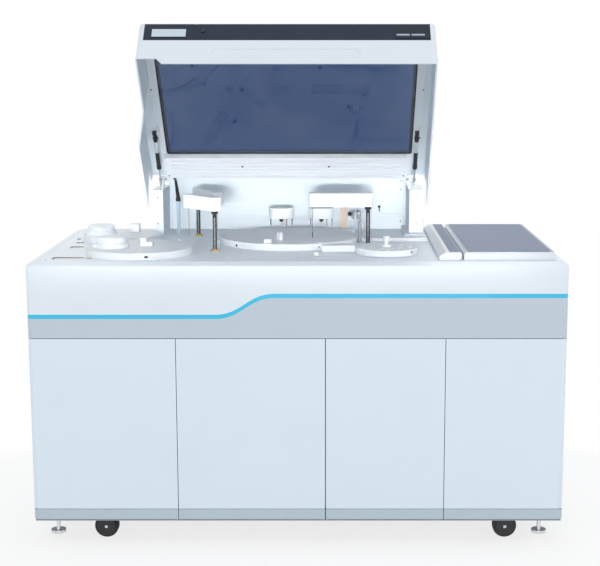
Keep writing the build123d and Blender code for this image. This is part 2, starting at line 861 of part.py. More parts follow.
with BuildPart() as deck_fittings:
    # mixers' guide columns
    with BuildSketch(Plane.XY.offset(deck_z)):
        with Locations(*[(x, column_y) for x in mixers.values()]):
            Rectangle(column_width, column_depth)
            Circle(mixer_rod_radius + mixer_rod_fit, mode=Mode.SUBTRACT)
    extrude(amount=column_top - deck_z)
    # the bridge between the reaction cover and the sample disc
    with BuildSketch(Plane.XY.offset(deck_z)):
        with Locations((bridge_x, bridge_y)):
            Rectangle(bridge_size[0], bridge_size[1])
        with Locations((sample_x, sample_y)):
            Circle(sample_radius + running_gap, mode=Mode.SUBTRACT)
        with Locations((reaction_x, reaction_y)):
            Circle(reaction_radius, mode=Mode.SUBTRACT)
    extrude(amount=bridge_size[2])
    # the low bar at the right
    with BuildSketch(Plane.XY.offset(deck_z)):
        with Locations(((bar_left + bar_right) / 2, bar_front + bar_depth / 2)):
            Rectangle(bar_right - bar_left, bar_depth)
    extrude(amount=bar_height)
    # the small block beside the reaction cover and the round knob by the front disc
    with BuildSketch(Plane.XY.offset(deck_z)):
        with Locations((-270, front_y + 366)):
            Rectangle(15, 15)
    extrude(amount=20)
    with BuildSketch(Plane.XY.offset(deck_z)):
        with Locations((-392, front_y + 360)):
            Circle(7)
    extrude(amount=12)
finish(deck_fittings.part, "deck_fittings")

reader_tall = 26
reader_low = 13
with BuildPart() as code_readers:
    with BuildSketch(Plane.XY.offset(cover_z)):
        with Locations((front_reagent_x + 22, front_reagent_y + 18)):
            Rectangle(38, 40)
        with Locations((reaction_x - 63, reaction_y - 193)):
            Rectangle(22, 22)
    extrude(amount=reader_low)
    with BuildSketch(Plane.XY.offset(cover_z)):
        with Locations((front_reagent_x + 12, front_reagent_y + 18)):
            Rectangle(18, 40)
        with Locations((rear_reagent_x + 33, rear_reagent_y + 60)):
            Rectangle(32, 36)
        with Locations((reaction_x - 27, reaction_y - 124)):
            Circle(10)
    extrude(amount=reader_tall)
finish(code_readers.part, "code_readers")

with BuildPart() as wash_station:
    with BuildSketch(Plane.XY.offset(deck_z)):
        with Locations((wash_x, wash_y)):
            RectangleRounded(wash_base[0], wash_base[1], wash_corner)
    extrude(amount=wash_base[2])
    with BuildSketch(Plane.XY.offset(deck_z + wash_base[2])):
        with Locations((wash_x, wash_y)):
            Rectangle(wash_plate[0], wash_plate[1])
    extrude(amount=wash_plate[2] - wash_base[2])
    with BuildSketch(Plane.XY.offset(deck_z)):
        with Locations((tube_x, tube_y)):
            Circle(tube_radius)
            Circle(wash_rod_radius + mixer_rod_fit, mode=Mode.SUBTRACT)
    extrude(amount=tube_height)
finish(wash_station.part, "wash_station")

with BuildPart() as wash_head:
    with BuildSketch(Plane.XY.offset(deck_z + tube_height - wash_rod_length)):
        with Locations((tube_x, tube_y)):
            Circle(wash_rod_radius)
    extrude(amount=wash_rod_length + wash_head_radius)
    with BuildSketch(Plane.XY.offset(deck_z + tube_height + seat_gap)):
        with Locations((tube_x, tube_y)):
            Circle(tube_radius)
    extrude(amount=tube_radius)
    # the valve's body, turned about its level axis
    valve_x = tube_x - wash_head_offset
    valve_z = deck_z + tube_height + wash_neck + wash_head_radius
    left_end = valve_x - wash_head_length / 2
    right_end = valve_x + wash_head_length / 2
    with BuildSketch(Plane.XZ.offset(-tube_y)):
        with BuildLine():
            ThreePointArc(
                (left_end, valve_z + wash_head_face),
                (valve_x, valve_z + wash_head_radius),
                (right_end, valve_z + wash_head_face),
            )
            Polyline(
                (right_end, valve_z + wash_head_face),
                (right_end, valve_z),
                (left_end, valve_z),
                (left_end, valve_z + wash_head_face),
            )
        make_face()
    revolve(axis=Axis((valve_x, tube_y, valve_z), (1, 0, 0)))
finish(wash_head.part, "wash_head")

# ---------------------------------------------------------------- console at the right
console_left = 430
small_cover_right = 498
main_cover_left = 505
console_right = 783
console_front = front_y + 58
console_back = front_y + 763
console_height = 24
console_skin = 4
console_edge = 5
small_chamfer = (20, 12)
console_hinge_inset = 8
console_pin_radius = 2
bracket_radius = 3.5
bracket_width = 6
frame_height = 8
frame_bar = 16
frame_room = 22
console_top = deck_z + console_height
bracket_room = 15
bracket_top = deck_z + bracket_room
console_low = deck_z + cover_gap
console_hinge_z = console_low + console_hinge_inset
console_depth = console_back - console_front
console_middle = (console_front + console_back) / 2
console_covers = [(console_left, small_cover_right), (main_cover_left, console_right)]

with BuildPart() as console_frame:
    for left, right in console_covers:
        hinge_x = right - console_hinge_inset
        inner_left = left + console_skin + running_gap
        inner_right = right - frame_room
        inner_depth = console_depth - 2 * (console_skin + running_gap)
        with BuildSketch(Plane.XY.offset(deck_z)):
            with Locations(((inner_left + inner_right) / 2, console_middle)):
                Rectangle(inner_right - inner_left, inner_depth)
                Rectangle(
                    inner_right - inner_left - 2 * frame_bar,
                    inner_depth - 2 * frame_bar,
                    mode=Mode.SUBTRACT,
                )
        extrude(amount=frame_height)
        for end, side in ((console_front, 1), (console_back, -1)):
            face = end + side * (console_skin + cover_gap)
            with BuildSketch(Plane.XZ.offset(-face)):
                with Locations((hinge_x, console_hinge_z)):
                    Circle(bracket_radius)
                with Locations(((inner_right - frame_bar / 2 + hinge_x) / 2, console_hinge_z)):
                    Rectangle(hinge_x - inner_right + frame_bar / 2, 2 * bracket_radius)
            extrude(amount=-side * bracket_width)
            with BuildSketch(Plane.XZ.offset(-face)):
                with Locations((hinge_x, console_hinge_z)):
                    Circle(console_pin_radius)
            extrude(amount=side * (console_skin - 1 + cover_gap))
finish(console_frame.part, "console_frame")


def console_cover(left, right, left_chamfer):
    """A shallow cover, open underneath, that turns about pins near its lower right edge."""
    hinge_x = right - console_hinge_inset
    with BuildPart() as cover:
        with BuildSketch(Plane.XZ.offset(-console_front)):
            with BuildLine():
                Polyline(
                    (hinge_x, console_low),
                    (left, console_low),
                    (left, console_top - left_chamfer[1]),
                    (left + left_chamfer[0], console_top),
                    (right - console_edge, console_top),
                    (right, console_top - console_edge),
                    (right, console_hinge_z),
                )
                ThreePointArc(
                    (right, console_hinge_z),
                    (hinge_x + console_hinge_inset * cos(radians(45)),
                     console_hinge_z - console_hinge_inset * sin(radians(45))),
                    (hinge_x, console_low),
                )
            make_face()
        extrude(amount=-console_depth)
        chamfer(cover.faces().sort_by(Axis.Z)[-1].edges().filter_by(Axis.X), console_edge)
        with BuildSketch(Plane.XY.offset(console_low)):
            with Locations(((left + right) / 2, console_middle)):
                Rectangle(right - left - 2 * console_skin, console_depth - 2 * console_skin)
        extrude(amount=console_top - console_low - left_chamfer[1] - console_skin, mode=Mode.SUBTRACT)
        inner_left = left + left_chamfer[0]
        inner_right = right - console_skin
        with BuildSketch(Plane.XY.offset(console_low)):
            with Locations(((inner_left + inner_right) / 2, console_middle)):
                Rectangle(inner_right - inner_left, console_depth - 2 * console_skin)
        extrude(amount=bracket_top - console_low, mode=Mode.SUBTRACT)
        for end, side in ((console_front, 1), (console_back, -1)):
            with BuildSketch(Plane.XZ.offset(-(end + side * console_skin))):
                with Locations((hinge_x, console_hinge_z)):
                    Circle(console_pin_radius + spindle_fit)
            extrude(amount=side * (console_skin - 1 + spindle_fit), mode=Mode.SUBTRACT)
    return cover.part


finish(console_cover(console_left, small_cover_right, small_chamfer), "console_small_cover")

panel_margin = 14
panel_thickness = 1.5
with BuildPart() as main_cover:
    add(console_cover(main_cover_left, console_right, (console_edge, console_edge)))
    with BuildSketch(Plane.XY.offset(console_top)):
        with Locations(((main_cover_left + console_right) / 2, console_middle)):
            RectangleRounded(
                console_right - main_cover_left - 2 * panel_margin,
                console_depth - 2 * panel_margin,
                corner_radius / 2,
            )
    extrude(amount=panel_thickness)
finish(main_cover.part, "console_main_cover")

# ---------------------------------------------------------------- rear tower
lug_width = 10
lug_depth = 2 * hinge_lug_radius
hinge_arm_gap = 10
hinge_arm_width = 22
clevis_gap = 4
clevis_width = 4
clevis_radius = 7
clevis_pin_radius = 2.5
lower_y = hinge_y - strut_lower_forward
lower_z = hinge_z - strut_lower_down
recess_x = -151
recess_z = 992
recess_size = (252, 28)
recess_depth = 3
channel_wall = 4
groove_heights = [deck_z + 31, deck_z + 43, deck_z + 55]
wall_groove = 2

with BuildPart() as lid_posts:
    for left, right in ((left_post_left, left_post_right), (right_post_left, right_post_right)):
        with BuildSketch(Plane.XY.offset(deck_z)):
            with Locations(((left + right) / 2, (post_front + back_y) / 2)):
                Rectangle(right - left, back_y - post_front)
        extrude(amount=post_top - deck_z)
    with BuildSketch(Plane.XY.offset(deck_z)):
        with Locations(((plinth_left + plinth_right) / 2, (plinth_front + rear_wall_y) / 2)):
            Rectangle(plinth_right - plinth_left, rear_wall_y - plinth_front)
    extrude(amount=plinth_height)
    for x in (left_post_right - lug_width, right_post_left):
        with BuildSketch(Plane.YZ.offset(x)):
            with Locations((hinge_y, hinge_z)):
                Circle(hinge_lug_radius)
            with Locations((hinge_y, (hinge_z + post_top) / 2)):
                Rectangle(lug_depth, hinge_z - post_top)
        extrude(amount=lug_width)
    for x in strut_x:
        for start in (x - clevis_gap - clevis_width, x + clevis_gap):
            with BuildSketch(Plane.YZ.offset(start)):
                with Locations((lower_y, lower_z)):
                    Circle(clevis_radius)
                with Locations((lower_y, (lower_z + post_top) / 2)):
                    Rectangle(2 * clevis_radius, lower_z - post_top)
            extrude(amount=clevis_width)
finish(lid_posts.part, "lid_posts")

with BuildPart() as rear_tower:
    with BuildSketch(Plane.XY.offset(deck_z)):
        with Locations(((left_post_right + right_post_left) / 2, (rear_wall_y + back_y) / 2)):
            Rectangle(right_post_left - left_post_right, back_y - rear_wall_y)
    extrude(amount=beam_bottom - deck_z)
    with BuildSketch(Plane.XY.offset(beam_bottom)):
        with Locations(((left_post_right + right_post_left) / 2, (beam_front + back_y) / 2)):
            Rectangle(right_post_left - left_post_right, back_y - beam_front)
    extrude(amount=hinge_z + hinge_drop - beam_bottom)
    with BuildSketch(Plane.XY.offset(beam_bottom)):
        with Locations(((left_post_right + right_post_left) / 2, (beam_front + rear_wall_y) / 2)):
            Rectangle(
                right_post_left - left_post_right - 2 * channel_wall,
                rear_wall_y - beam_front - 2 * channel_wall,
            )
    extrude(amount=hinge_z + hinge_drop - beam_bottom - channel_wall, mode=Mode.SUBTRACT)
    with BuildSketch(Plane.XZ.offset(-rear_wall_y)):
        with Locations((recess_x, recess_z)):
            Rectangle(recess_size[0], recess_size[1])
    extrude(amount=-recess_depth, mode=Mode.SUBTRACT)
    with BuildSketch(Plane.XZ.offset(-rear_wall_y)):
        with Locations(*[((left_post_right + right_post_left) / 2, z) for z in groove_heights]):
            Rectangle(right_post_left - left_post_right, wall_groove)
    extrude(amount=-wall_groove, mode=Mode.SUBTRACT)
finish(rear_tower.part, "rear_tower")

conduit_x = -432
conduit_y = front_y + 700
conduit_radius = 6.5
collar_z = deck_z + 112
collar_radius = 8.5
collar_height = 12
boot_radius = 7
boot_tip = (-440, 1078)
boot_tip_radius = 4

with BuildPart() as lid_conduit:
    with BuildSketch(Plane.XY.offset(deck_z)):
        with Locations((conduit_x, conduit_y)):
            Circle(conduit_radius)
    extrude(amount=collar_z - deck_z)
    with BuildSketch(Plane.XY.offset(collar_z)):
        with Locations((conduit_x, conduit_y)):
            Circle(collar_radius)
    extrude(amount=collar_height)
    with BuildSketch(Plane.XY.offset(collar_z + collar_height)):
        with Locations((conduit_x, conduit_y)):
            Circle(boot_radius)
    with BuildSketch(Plane.XY.offset(boot_tip[1])):
        with Locations((boot_tip[0], conduit_y)):
            Circle(boot_tip_radius)
    loft()
finish(lid_conduit.part, "lid_conduit")

# ---------------------------------------------------------------- lid shell
lid_inner_front = lid_length - lid_wall
lid_corner = 16
fascia_depth = 76
fascia_margin = 2
fascia_thickness = 2
fascia_side = 18
notch_right = -426
notch_slope = -409
notch_depth = 156
notch_run = 90
recess_left = -261
recess_right = 191
recess_top = 115
recess_bottom = 155
finger_depth = 3
cheek_curve = [(12, lid_tip_depth), (58, 104), (70, 48), (lid_rear, 30)]
window_x = (window_left + window_right) / 2
window_u = (window_rear + window_front) / 2
window_width = window_right - window_left
window_length = window_front - window_rear
window_corner = 4
recess_corner = 16
lid_front = Plane(
    origin=(0,) + lid_point(lid_length, 0),
    x_dir=(1, 0, 0),
    z_dir=(0, -cos(lid_tilt), sin(lid_tilt)),
)


def lid_outline(inset, rear):
    """The corners of the lid in its own plane, drawn in by a distance."""
    return [
        (lid_left + inset, -(lid_length - inset)),
        (lid_left + inset, -wing_start),
        (lid_left_wide + inset, -wing_end),
        (lid_left_wide + inset, -rear),
        (lid_right_wide - inset, -rear),
        (lid_right - inset, -(lid_length - inset)),
    ]


with BuildPart() as lid_shell:
    with BuildSketch(lid_sheet):
        with BuildLine():
            Polyline(*lid_outline(0, lid_rear), close=True)
        make_face()
    extrude(amount=-lid_front_depth)
    fillet(lid_shell.edges().filter_by(Axis((0, 0, 0), lid_normal)).sort_by(Axis.Y)[:2], lid_corner)
    with BuildSketch(lid_sheet.offset(-lid_wall)):
        with BuildLine():
            Polyline(*lid_outline(lid_wall, -lid_rear), close=True)
        make_face()
    extrude(amount=-lid_front_depth, mode=Mode.SUBTRACT)
    with BuildSketch(lid_sheet):
        with Locations((window_x, -window_u)):
            RectangleRounded(
                window_width - 2 * window_lap, window_length - 2 * window_lap, window_corner
            )
    extrude(amount=-lid_wall, mode=Mode.SUBTRACT)
    with BuildSketch(lid_side.offset(-width / 2)):
        with BuildLine():
            Polyline(
                (-(lid_inner_front - 3), -2 * lid_front_depth),
                (-(lid_inner_front - 3), -lid_cheek_depth),
                (-wing_end, -lid_cheek_depth),
                (-cheek_curve[0][0], -cheek_curve[0][1]),
            )
            ThreePointArc(*[(-u, -v) for u, v in cheek_curve[:3]])
            Polyline(
                (-cheek_curve[2][0], -cheek_curve[2][1]),
                (-cheek_curve[3][0], -cheek_curve[3][1]),
                (lid_rear, -cheek_curve[3][1]),
                (lid_rear, -2 * lid_front_depth),
                (-(lid_inner_front - 3), -2 * lid_front_depth),
            )
        make_face()
    extrude(amount=width, mode=Mode.SUBTRACT)
    with BuildSketch(lid_front):
        with Locations(((lid_left + lid_right) / 2, -(fascia_margin + fascia_depth) / 2)):
            Rectangle(lid_right - lid_left - 2 * fascia_side, fascia_depth - fascia_margin)
    extrude(amount=-fascia_thickness, mode=Mode.SUBTRACT)
    with BuildSketch(lid_front):
        with Locations(((recess_left + recess_right) / 2, -(recess_top + recess_bottom) / 2)):
            RectangleRounded(recess_right - recess_left, recess_bottom - recess_top, recess_corner)
    extrude(amount=-finger_depth, mode=Mode.SUBTRACT)
    with BuildSketch(lid_front):
        with BuildLine():
            Polyline(
                (lid_left - lid_wall, -notch_depth),
                (notch_right, -notch_depth),
                (notch_slope, -lid_front_depth),
                (notch_slope, -2 * lid_front_depth),
                (lid_left - lid_wall, -2 * lid_front_depth),
                close=True,
            )
        make_face()
    extrude(amount=-notch_run, mode=Mode.SUBTRACT)
finish(lid_shell.part, "lid_shell")

label_size = (108, 36)
block_size = (104, 54)
indicator_rise = 1.5
sensor_radius = 8
fascia_groove = 12
groove_inset = 177
label_inset = 95
label_drop = 44
block_inset = 74
block_drop = 42
sensor_inset = 199
sensor_drop = 34

with BuildPart() as lid_fascia:
    with BuildSketch(lid_front):
        with Locations(((lid_left + lid_right) / 2, -(fascia_margin + fascia_depth) / 2)):
            Rectangle(lid_right - lid_left - 2 * fascia_side, fascia_depth - fascia_margin)
    extrude(amount=-fascia_thickness)
    with BuildSketch(lid_front):
        with Locations((lid_left + groove_inset, -(fascia_margin + fascia_depth) / 2)):
            Rectangle(fascia_groove, fascia_depth - fascia_margin)
    extrude(amount=-fascia_thickness / 2, mode=Mode.SUBTRACT)
    with BuildSketch(lid_front):
        with Locations((lid_left + label_inset, -label_drop)):
            Rectangle(label_size[0], label_size[1])
        with Locations((lid_right - block_inset, -block_drop)):
            Rectangle(block_size[0], block_size[1])
        with Locations((lid_left + sensor_inset, -sensor_drop)):
            Circle(sensor_radius)
    extrude(amount=indicator_rise)
finish(lid_fascia.part, "lid_fascia")

# ---------------------------------------------------------------- lid window and frame rails
gasket_thickness = window_thickness + 1
with BuildPart() as lid_window:
    with BuildSketch(lid_sheet.offset(-lid_wall)):
        with Locations((window_x, -window_u)):
            RectangleRounded(window_width, window_length, window_corner)
    extrude(amount=-window_thickness)
finish(lid_window.part, "lid_window")

with BuildPart() as window_gasket:
    with BuildSketch(lid_sheet.offset(-lid_wall)):
        with Locations((window_x, -window_u)):
            RectangleRounded(
                window_width + 2 * gasket_width,
                window_length + 2 * gasket_width,
                window_corner + gasket_width,
            )
            RectangleRounded(window_width, window_length, window_corner, mode=Mode.SUBTRACT)
    extrude(amount=-gasket_thickness)
finish(window_gasket.part, "window_gasket")

rail_start = rear_rail_end + 2
rail_end = window_front
rail_groove = 3
rail_grooves = 3
rail_left = window_left - gasket_width - panel_gap - side_rail_width / 2
rail_right = window_right + gasket_width + panel_gap + side_rail_width / 2
upper_y, upper_z = lid_point(strut_upper_u, strut_upper_v)
stud_gap = 0.5
stud_width = 6
stud_radius = 6
stud_inner = strut_tube_radius + stud_gap

with BuildPart() as side_rails:
    for x in (rail_left, rail_right):
        with BuildSketch(lid_sheet.offset(-lid_wall)):
            with Locations((x, -(rail_start + rail_end) / 2)):
                Rectangle(side_rail_width, rail_end - rail_start)
        extrude(amount=lid_wall - side_rail_depth)
        with BuildSketch(lid_sheet.offset(-side_rail_depth)):
            with Locations((x, -(rail_start + rail_end) / 2)):
                with GridLocations(side_rail_width / (rail_grooves + 1), 1, rail_grooves, 1):
                    Rectangle(rail_groove, rail_end - rail_start)
        extrude(amount=rail_groove, mode=Mode.SUBTRACT)
    for x in strut_x:
        with BuildSketch(lid_side.offset(x + stud_inner)):
            with Locations((-strut_upper_u, -strut_upper_v)):
                Circle(stud_radius)
            with Locations((-strut_upper_u, -(strut_upper_v + side_rail_depth - rail_groove) / 2)):
                Rectangle(2 * stud_radius, strut_upper_v - side_rail_depth + rail_groove)
        extrude(amount=stud_width)
finish(side_rails.part, "side_rails")

rear_left = left_post_right + hinge_arm_gap
rear_right = right_post_left - hinge_arm_gap
rib_count = 5
rib_pitch = 17
rib_groove = 4
rib_depth = 3
arm_root = 20
arm_depth = 16

with BuildPart() as rear_rail:
    with BuildSketch(lid_sheet.offset(-lid_wall)):
        with Locations(((rear_left + rear_right) / 2, -(rear_rail_start + rear_rail_end) / 2 + running_gap)):
            Rectangle(rear_right - rear_left, rear_rail_end - rear_rail_start - 2 * running_gap)
    extrude(amount=lid_wall - rear_rail_depth)
    with BuildSketch(lid_sheet.offset(-rear_rail_depth)):
        with Locations(((rear_left + rear_right) / 2, -(rear_rail_start + rear_rail_end) / 2 + running_gap)):
            with GridLocations(1, rib_pitch, 1, rib_count):
                Rectangle(rear_right - rear_left - 2 * hinge_arm_width, rib_groove)
    extrude(amount=rib_depth, mode=Mode.SUBTRACT)
    for x in (rear_left, rear_right - hinge_arm_width):
        with BuildSketch(lid_side.offset(x)):
            with Locations((0, -hinge_drop)):
                Circle(hinge_lug_radius)
            with Locations((-arm_root / 2, -hinge_drop)):
                Rectangle(arm_root, arm_depth)
        extrude(amount=hinge_arm_width)
    with BuildSketch(lid_side.offset(rear_left)):
        with Locations((0, -hinge_drop)):
            Circle(hinge_pin_radius + spindle_fit)
    extrude(amount=rear_right - rear_left, mode=Mode.SUBTRACT)
finish(rear_rail.part, "rear_rail")

# ---------------------------------------------------------------- lid struts
strut_run = hypot(upper_y - lower_y, upper_z - lower_z)
strut_dir = ((upper_y - lower_y) / strut_run, (upper_z - lower_z) / strut_run)
strut_eye_radius = 6
strut_eye_width = 7
tube_length = 160
rod_end = 38
bore_end = 8
cap_length = 10
cap_radius = 8


def strut_plane(x, along):
    """The plane square to a strut at a distance from its lower pivot."""
    return Plane(
        origin=(x, lower_y + strut_dir[0] * along, lower_z + strut_dir[1] * along),
        x_dir=(1, 0, 0),
        z_dir=(0,) + strut_dir,
    )


for name, x in zip(("left_strut", "right_strut"), strut_x):
    with BuildPart() as rod:
        with BuildSketch(Plane.YZ.offset(x - strut_eye_width / 2)):
            with Locations((lower_y, lower_z)):
                Circle(strut_eye_radius)
        extrude(amount=strut_eye_width)
        with BuildSketch(strut_plane(x, strut_eye_radius - 1)):
            Circle(strut_rod_radius)
        extrude(amount=strut_run - rod_end - strut_eye_radius + 1)
        with BuildSketch(Plane.YZ.offset(x - strut_eye_width)):
            with Locations((lower_y, lower_z)):
                Circle(clevis_pin_radius + spindle_fit)
        extrude(amount=2 * strut_eye_width, mode=Mode.SUBTRACT)
    finish(rod.part, f"{name}_rod")

    with BuildPart() as tube:
        with BuildSketch(strut_plane(x, strut_run - tube_length)):
            Circle(cap_radius)
        extrude(amount=cap_length)
        with BuildSketch(strut_plane(x, strut_run - tube_length)):
            Circle(strut_tube_radius)
        extrude(amount=tube_length - strut_tube_radius / 2)
        with BuildSketch(Plane.YZ.offset(x - strut_tube_radius)):
            with Locations((upper_y, upper_z)):
                Circle(strut_tube_radius)
        extrude(amount=2 * strut_tube_radius)
        with BuildSketch(strut_plane(x, strut_run - tube_length)):
            Circle(strut_rod_radius + shaft_clearance)
        extrude(amount=tube_length - strut_tube_radius - bore_end, mode=Mode.SUBTRACT)
    finish(tube.part, f"{name}_tube")

# ---------------------------------------------------------------- doors
door_bottom = base_top + door_bottom_gap
door_top = bay_top - door_gap
door_edges = [-half_width] + door_seams + [half_width]
hinged_left = [True, False, True, False]
pivot_insets = [outer_pivot_inset, inner_pivot_inset, inner_pivot_inset, outer_pivot_inset]
pivot_places = []

for number, inset in enumerate(pivot_insets):
    left = door_edges[number] + (0 if number == 0 else door_gap / 2)
    right = door_edges[number + 1] - (0 if number == 3 else door_gap / 2)
    pivot = (left + inset if hinged_left[number] else right - inset, front_y + inset)
    pivot_places.append(pivot)
    hinge_edge = 0 if hinged_left[number] else -1
    with BuildPart() as door:
        with BuildSketch(Plane.XY.offset(door_bottom)):
            with Locations(((left + right) / 2, front_y + door_thickness / 2)):
                Rectangle(right - left, door_thickness)
        extrude(amount=door_top - door_bottom)
        fillet(
            door.edges().filter_by(Axis.Z).sort_by(Axis.Y)[:2].sort_by(Axis.X)[hinge_edge],
            corner_radius if inset == outer_pivot_inset else inner_edge_radius,
        )
        with BuildSketch(Plane.XZ.offset(-(front_y + door_thickness))):
            with Locations(((left + right) / 2, (door_bottom + door_top) / 2)):
                Rectangle(
                    right - left - 2 * door_pan_border, door_top - door_bottom - 2 * door_pan_border
                )
        extrude(amount=door_pan_depth, mode=Mode.SUBTRACT)
        with BuildSketch(Plane.XZ.offset(-front_y)):
            with Locations(((left + right) / 2, base_top + skirt_height)):
                Rectangle(right - left, skirt_groove)
        extrude(amount=-skirt_groove, mode=Mode.SUBTRACT)
        for end, way in ((door_bottom, 1), (door_top, -1)):
            with BuildSketch(Plane.XY.offset(end)):
                with Locations(pivot):
                    Circle(pivot_radius + pivot_clearance)
            extrude(amount=way * pivot_reach, mode=Mode.SUBTRACT)
    finish(door.part, f"door_{number + 1}")

# ---------------------------------------------------------------- fixed pins of the hinges
with BuildPart() as pivot_pins:
    for base, way in ((base_top, 1), (bay_top, -1)):
        with BuildSketch(Plane.XY.offset(base)):
            with Locations(*pivot_places):
                Circle(pivot_radius)
        extrude(amount=way * pivot_reach)
    for x, way in ((left_post_right, 1), (right_post_left, -1)):
        with BuildSketch(Plane.YZ.offset(x)):
            with Locations((hinge_y, hinge_z)):
                Circle(hinge_pin_radius)
        extrude(amount=way * (hinge_arm_gap + hinge_arm_width))
    for x in strut_x:
        with BuildSketch(Plane.YZ.offset(x - clevis_gap)):
            with Locations((lower_y, lower_z)):
                Circle(clevis_pin_radius)
        extrude(amount=2 * clevis_gap)
finish(pivot_pins.part, "pivot_pins")

# ---------------------------------------------------------------- what the bays hold
tank_places = [(-560, 130), (-230, 130)]
tank_size = (250, 330, 380)
tank_corner = 30
tank_neck = (34, 26)
supply_size = (140, 190)
supply_front = back_y - 220
inlet_size = (28, 22)
rocker_hole = (22, 30)
socket_depth = 12
rocker_z = inlet_z + 22
rocker_y = back_y - 7
rocker_pin_radius = 1.5

with BuildPart() as bay_equipment:
    for x, y in tank_places:
        with BuildSketch(Plane.XY.offset(base_top)):
            with Locations((x, y)):
                RectangleRounded(tank_size[0], tank_size[1], tank_corner)
        extrude(amount=tank_size[2])
        with BuildSketch(Plane.XY.offset(base_top + tank_size[2])):
            with Locations((x, y)):
                Circle(tank_neck[0])
        extrude(amount=tank_neck[1])
    with BuildSketch(Plane.XY.offset(base_top)):
        with Locations((inlet_x, (supply_front + back_y - sheet) / 2)):
            Rectangle(supply_size[0], back_y - sheet - supply_front)
    extrude(amount=supply_size[1])
    with BuildSketch(Plane.XZ.offset(-back_y)):
        with Locations((inlet_x, inlet_z)):
            Rectangle(inlet_plate_width, inlet_plate_height)
    extrude(amount=sheet)
    with BuildSketch(Plane.XZ.offset(-back_y)):
        with Locations((inlet_x, inlet_z - 18)):
            Rectangle(inlet_size[0], inlet_size[1])
        with Locations((inlet_x, rocker_z)):
            Rectangle(rocker_hole[0], rocker_hole[1])
    extrude(amount=socket_depth, mode=Mode.SUBTRACT)
    with BuildSketch(Plane.YZ.offset(inlet_x - rocker_hole[0] / 2)):
        with Locations((rocker_y, rocker_z)):
            Circle(rocker_pin_radius)
    extrude(amount=rocker_hole[0])
finish(bay_equipment.part, "bay_equipment")

rocker_half = 12
rocker_width = 20
with BuildPart() as power_switch:
    with BuildSketch(Plane.YZ.offset(inlet_x - rocker_width / 2)):
        with BuildLine():
            Polyline(
                (rocker_y - 2, rocker_z - rocker_half),
                (back_y - 1, rocker_z - rocker_half),
                (back_y - 3, rocker_z),
                (back_y - 1, rocker_z + rocker_half),
                (rocker_y - 2, rocker_z + rocker_half),
                close=True,
            )
        make_face()
        with Locations((rocker_y, rocker_z)):
            Circle(rocker_pin_radius + spindle_fit, mode=Mode.SUBTRACT)
    extrude(amount=rocker_width)
finish(power_switch.part, "power_switch")

# ---------------------------------------------------------------- casters and feet
swivel_plate = 3
swivel_gap = 0.3
fork_plate = 4.5
fork_radius = 26
fork_leg = 4
fork_side_gap = 1.5
axle_radius = 5
axle_fit = 0.05
plate_side = 70
king_pin_radius = 5
fork_top = floor_gap - swivel_plate - swivel_gap
leg_offset = wheel_width / 2 + fork_side_gap


def fork(side_plane, trail):
    """Two legs and an axle below a round plate; the side plane gives the wheel's direction."""
    with BuildPart() as body:
        with BuildSketch(Plane.XY.offset(fork_top)):
            Circle(fork_radius)
        extrude(amount=-fork_plate)
        for side in (-1, 1):
            with BuildSketch(side_plane.offset(side * leg_offset)):
                with BuildLine():
                    Polyline(
                        (-fork_radius * 0.65, fork_top),
                        (fork_radius * 0.65, fork_top),
                        (trail + 2 * axle_radius, wheel_radius),
                        (trail, wheel_radius - 2 * axle_radius),
                        (trail - 2 * axle_radius, wheel_radius),
                        close=True,
                    )
                make_face()
            extrude(amount=side * fork_leg)
        with BuildSketch(side_plane.offset(-leg_offset)):
            with Locations((trail, wheel_radius)):
                Circle(axle_radius)
        extrude(amount=2 * leg_offset)
    return body.part


def wheel(side_plane, trail):
    """A tyred wheel with hub bosses that turns on the fork's axle."""
    with BuildPart() as body:
        with BuildSketch(side_plane.offset(-wheel_width / 2)):
            with Locations((trail, wheel_radius)):
                Circle(wheel_radius)
        extrude(amount=wheel_width)
        chamfer(body.edges().filter_by(GeomType.CIRCLE), 3)
        with BuildSketch(side_plane.offset(-wheel_width / 2)):
            with Locations((trail, wheel_radius)):
                Circle(axle_radius + axle_fit)
        extrude(amount=wheel_width, mode=Mode.SUBTRACT)
    return body.part


for name, side in (("left", -1), ("right", 1)):
    place = Location((side * caster_x, -caster_y, 0))
    with BuildPart() as front_fork:
        add(fork(Plane.XZ, caster_trail).moved(place))
        with BuildSketch(Plane.XY.offset(fork_top)):
            with Locations((side * caster_x, -caster_y)):
                Circle(king_pin_radius + axle_fit)
        extrude(amount=-fork_plate, mode=Mode.SUBTRACT)
    finish(front_fork.part, f"{name}_caster_fork")
    with BuildPart() as front_wheel:
        add(wheel(Plane.XZ, caster_trail).moved(place))
    finish(front_wheel.part, f"{name}_caster_wheel")

with BuildPart() as caster_mounts:
    with BuildSketch(Plane.XY.offset(floor_gap)):
        with Locations(*caster_places):
            Rectangle(plate_side, plate_side)
    extrude(amount=-swivel_plate)
    with BuildSketch(Plane.XY.offset(floor_gap - swivel_plate)):
        with Locations(*[place for place in caster_places if place[1] < 0]):
            Circle(king_pin_radius)
    extrude(amount=-(swivel_gap + fork_plate))
    with BuildSketch(Plane.XY.offset(floor_gap - swivel_plate)):
        with Locations(*[place for place in caster_places if place[1] > 0]):
            Circle(fork_radius)
    extrude(amount=-swivel_gap)
    for side in (-1, 1):
        add(fork(Plane.YZ, 0).moved(Location((side * caster_x, caster_y, 0))))
finish(caster_mounts.part, "caster_mounts")

with BuildPart() as rear_wheels:
    for side in (-1, 1):
        add(wheel(Plane.YZ, 0).moved(Location((side * caster_x, caster_y, 0))))
finish(rear_wheels.part, "rear_caster_wheels")

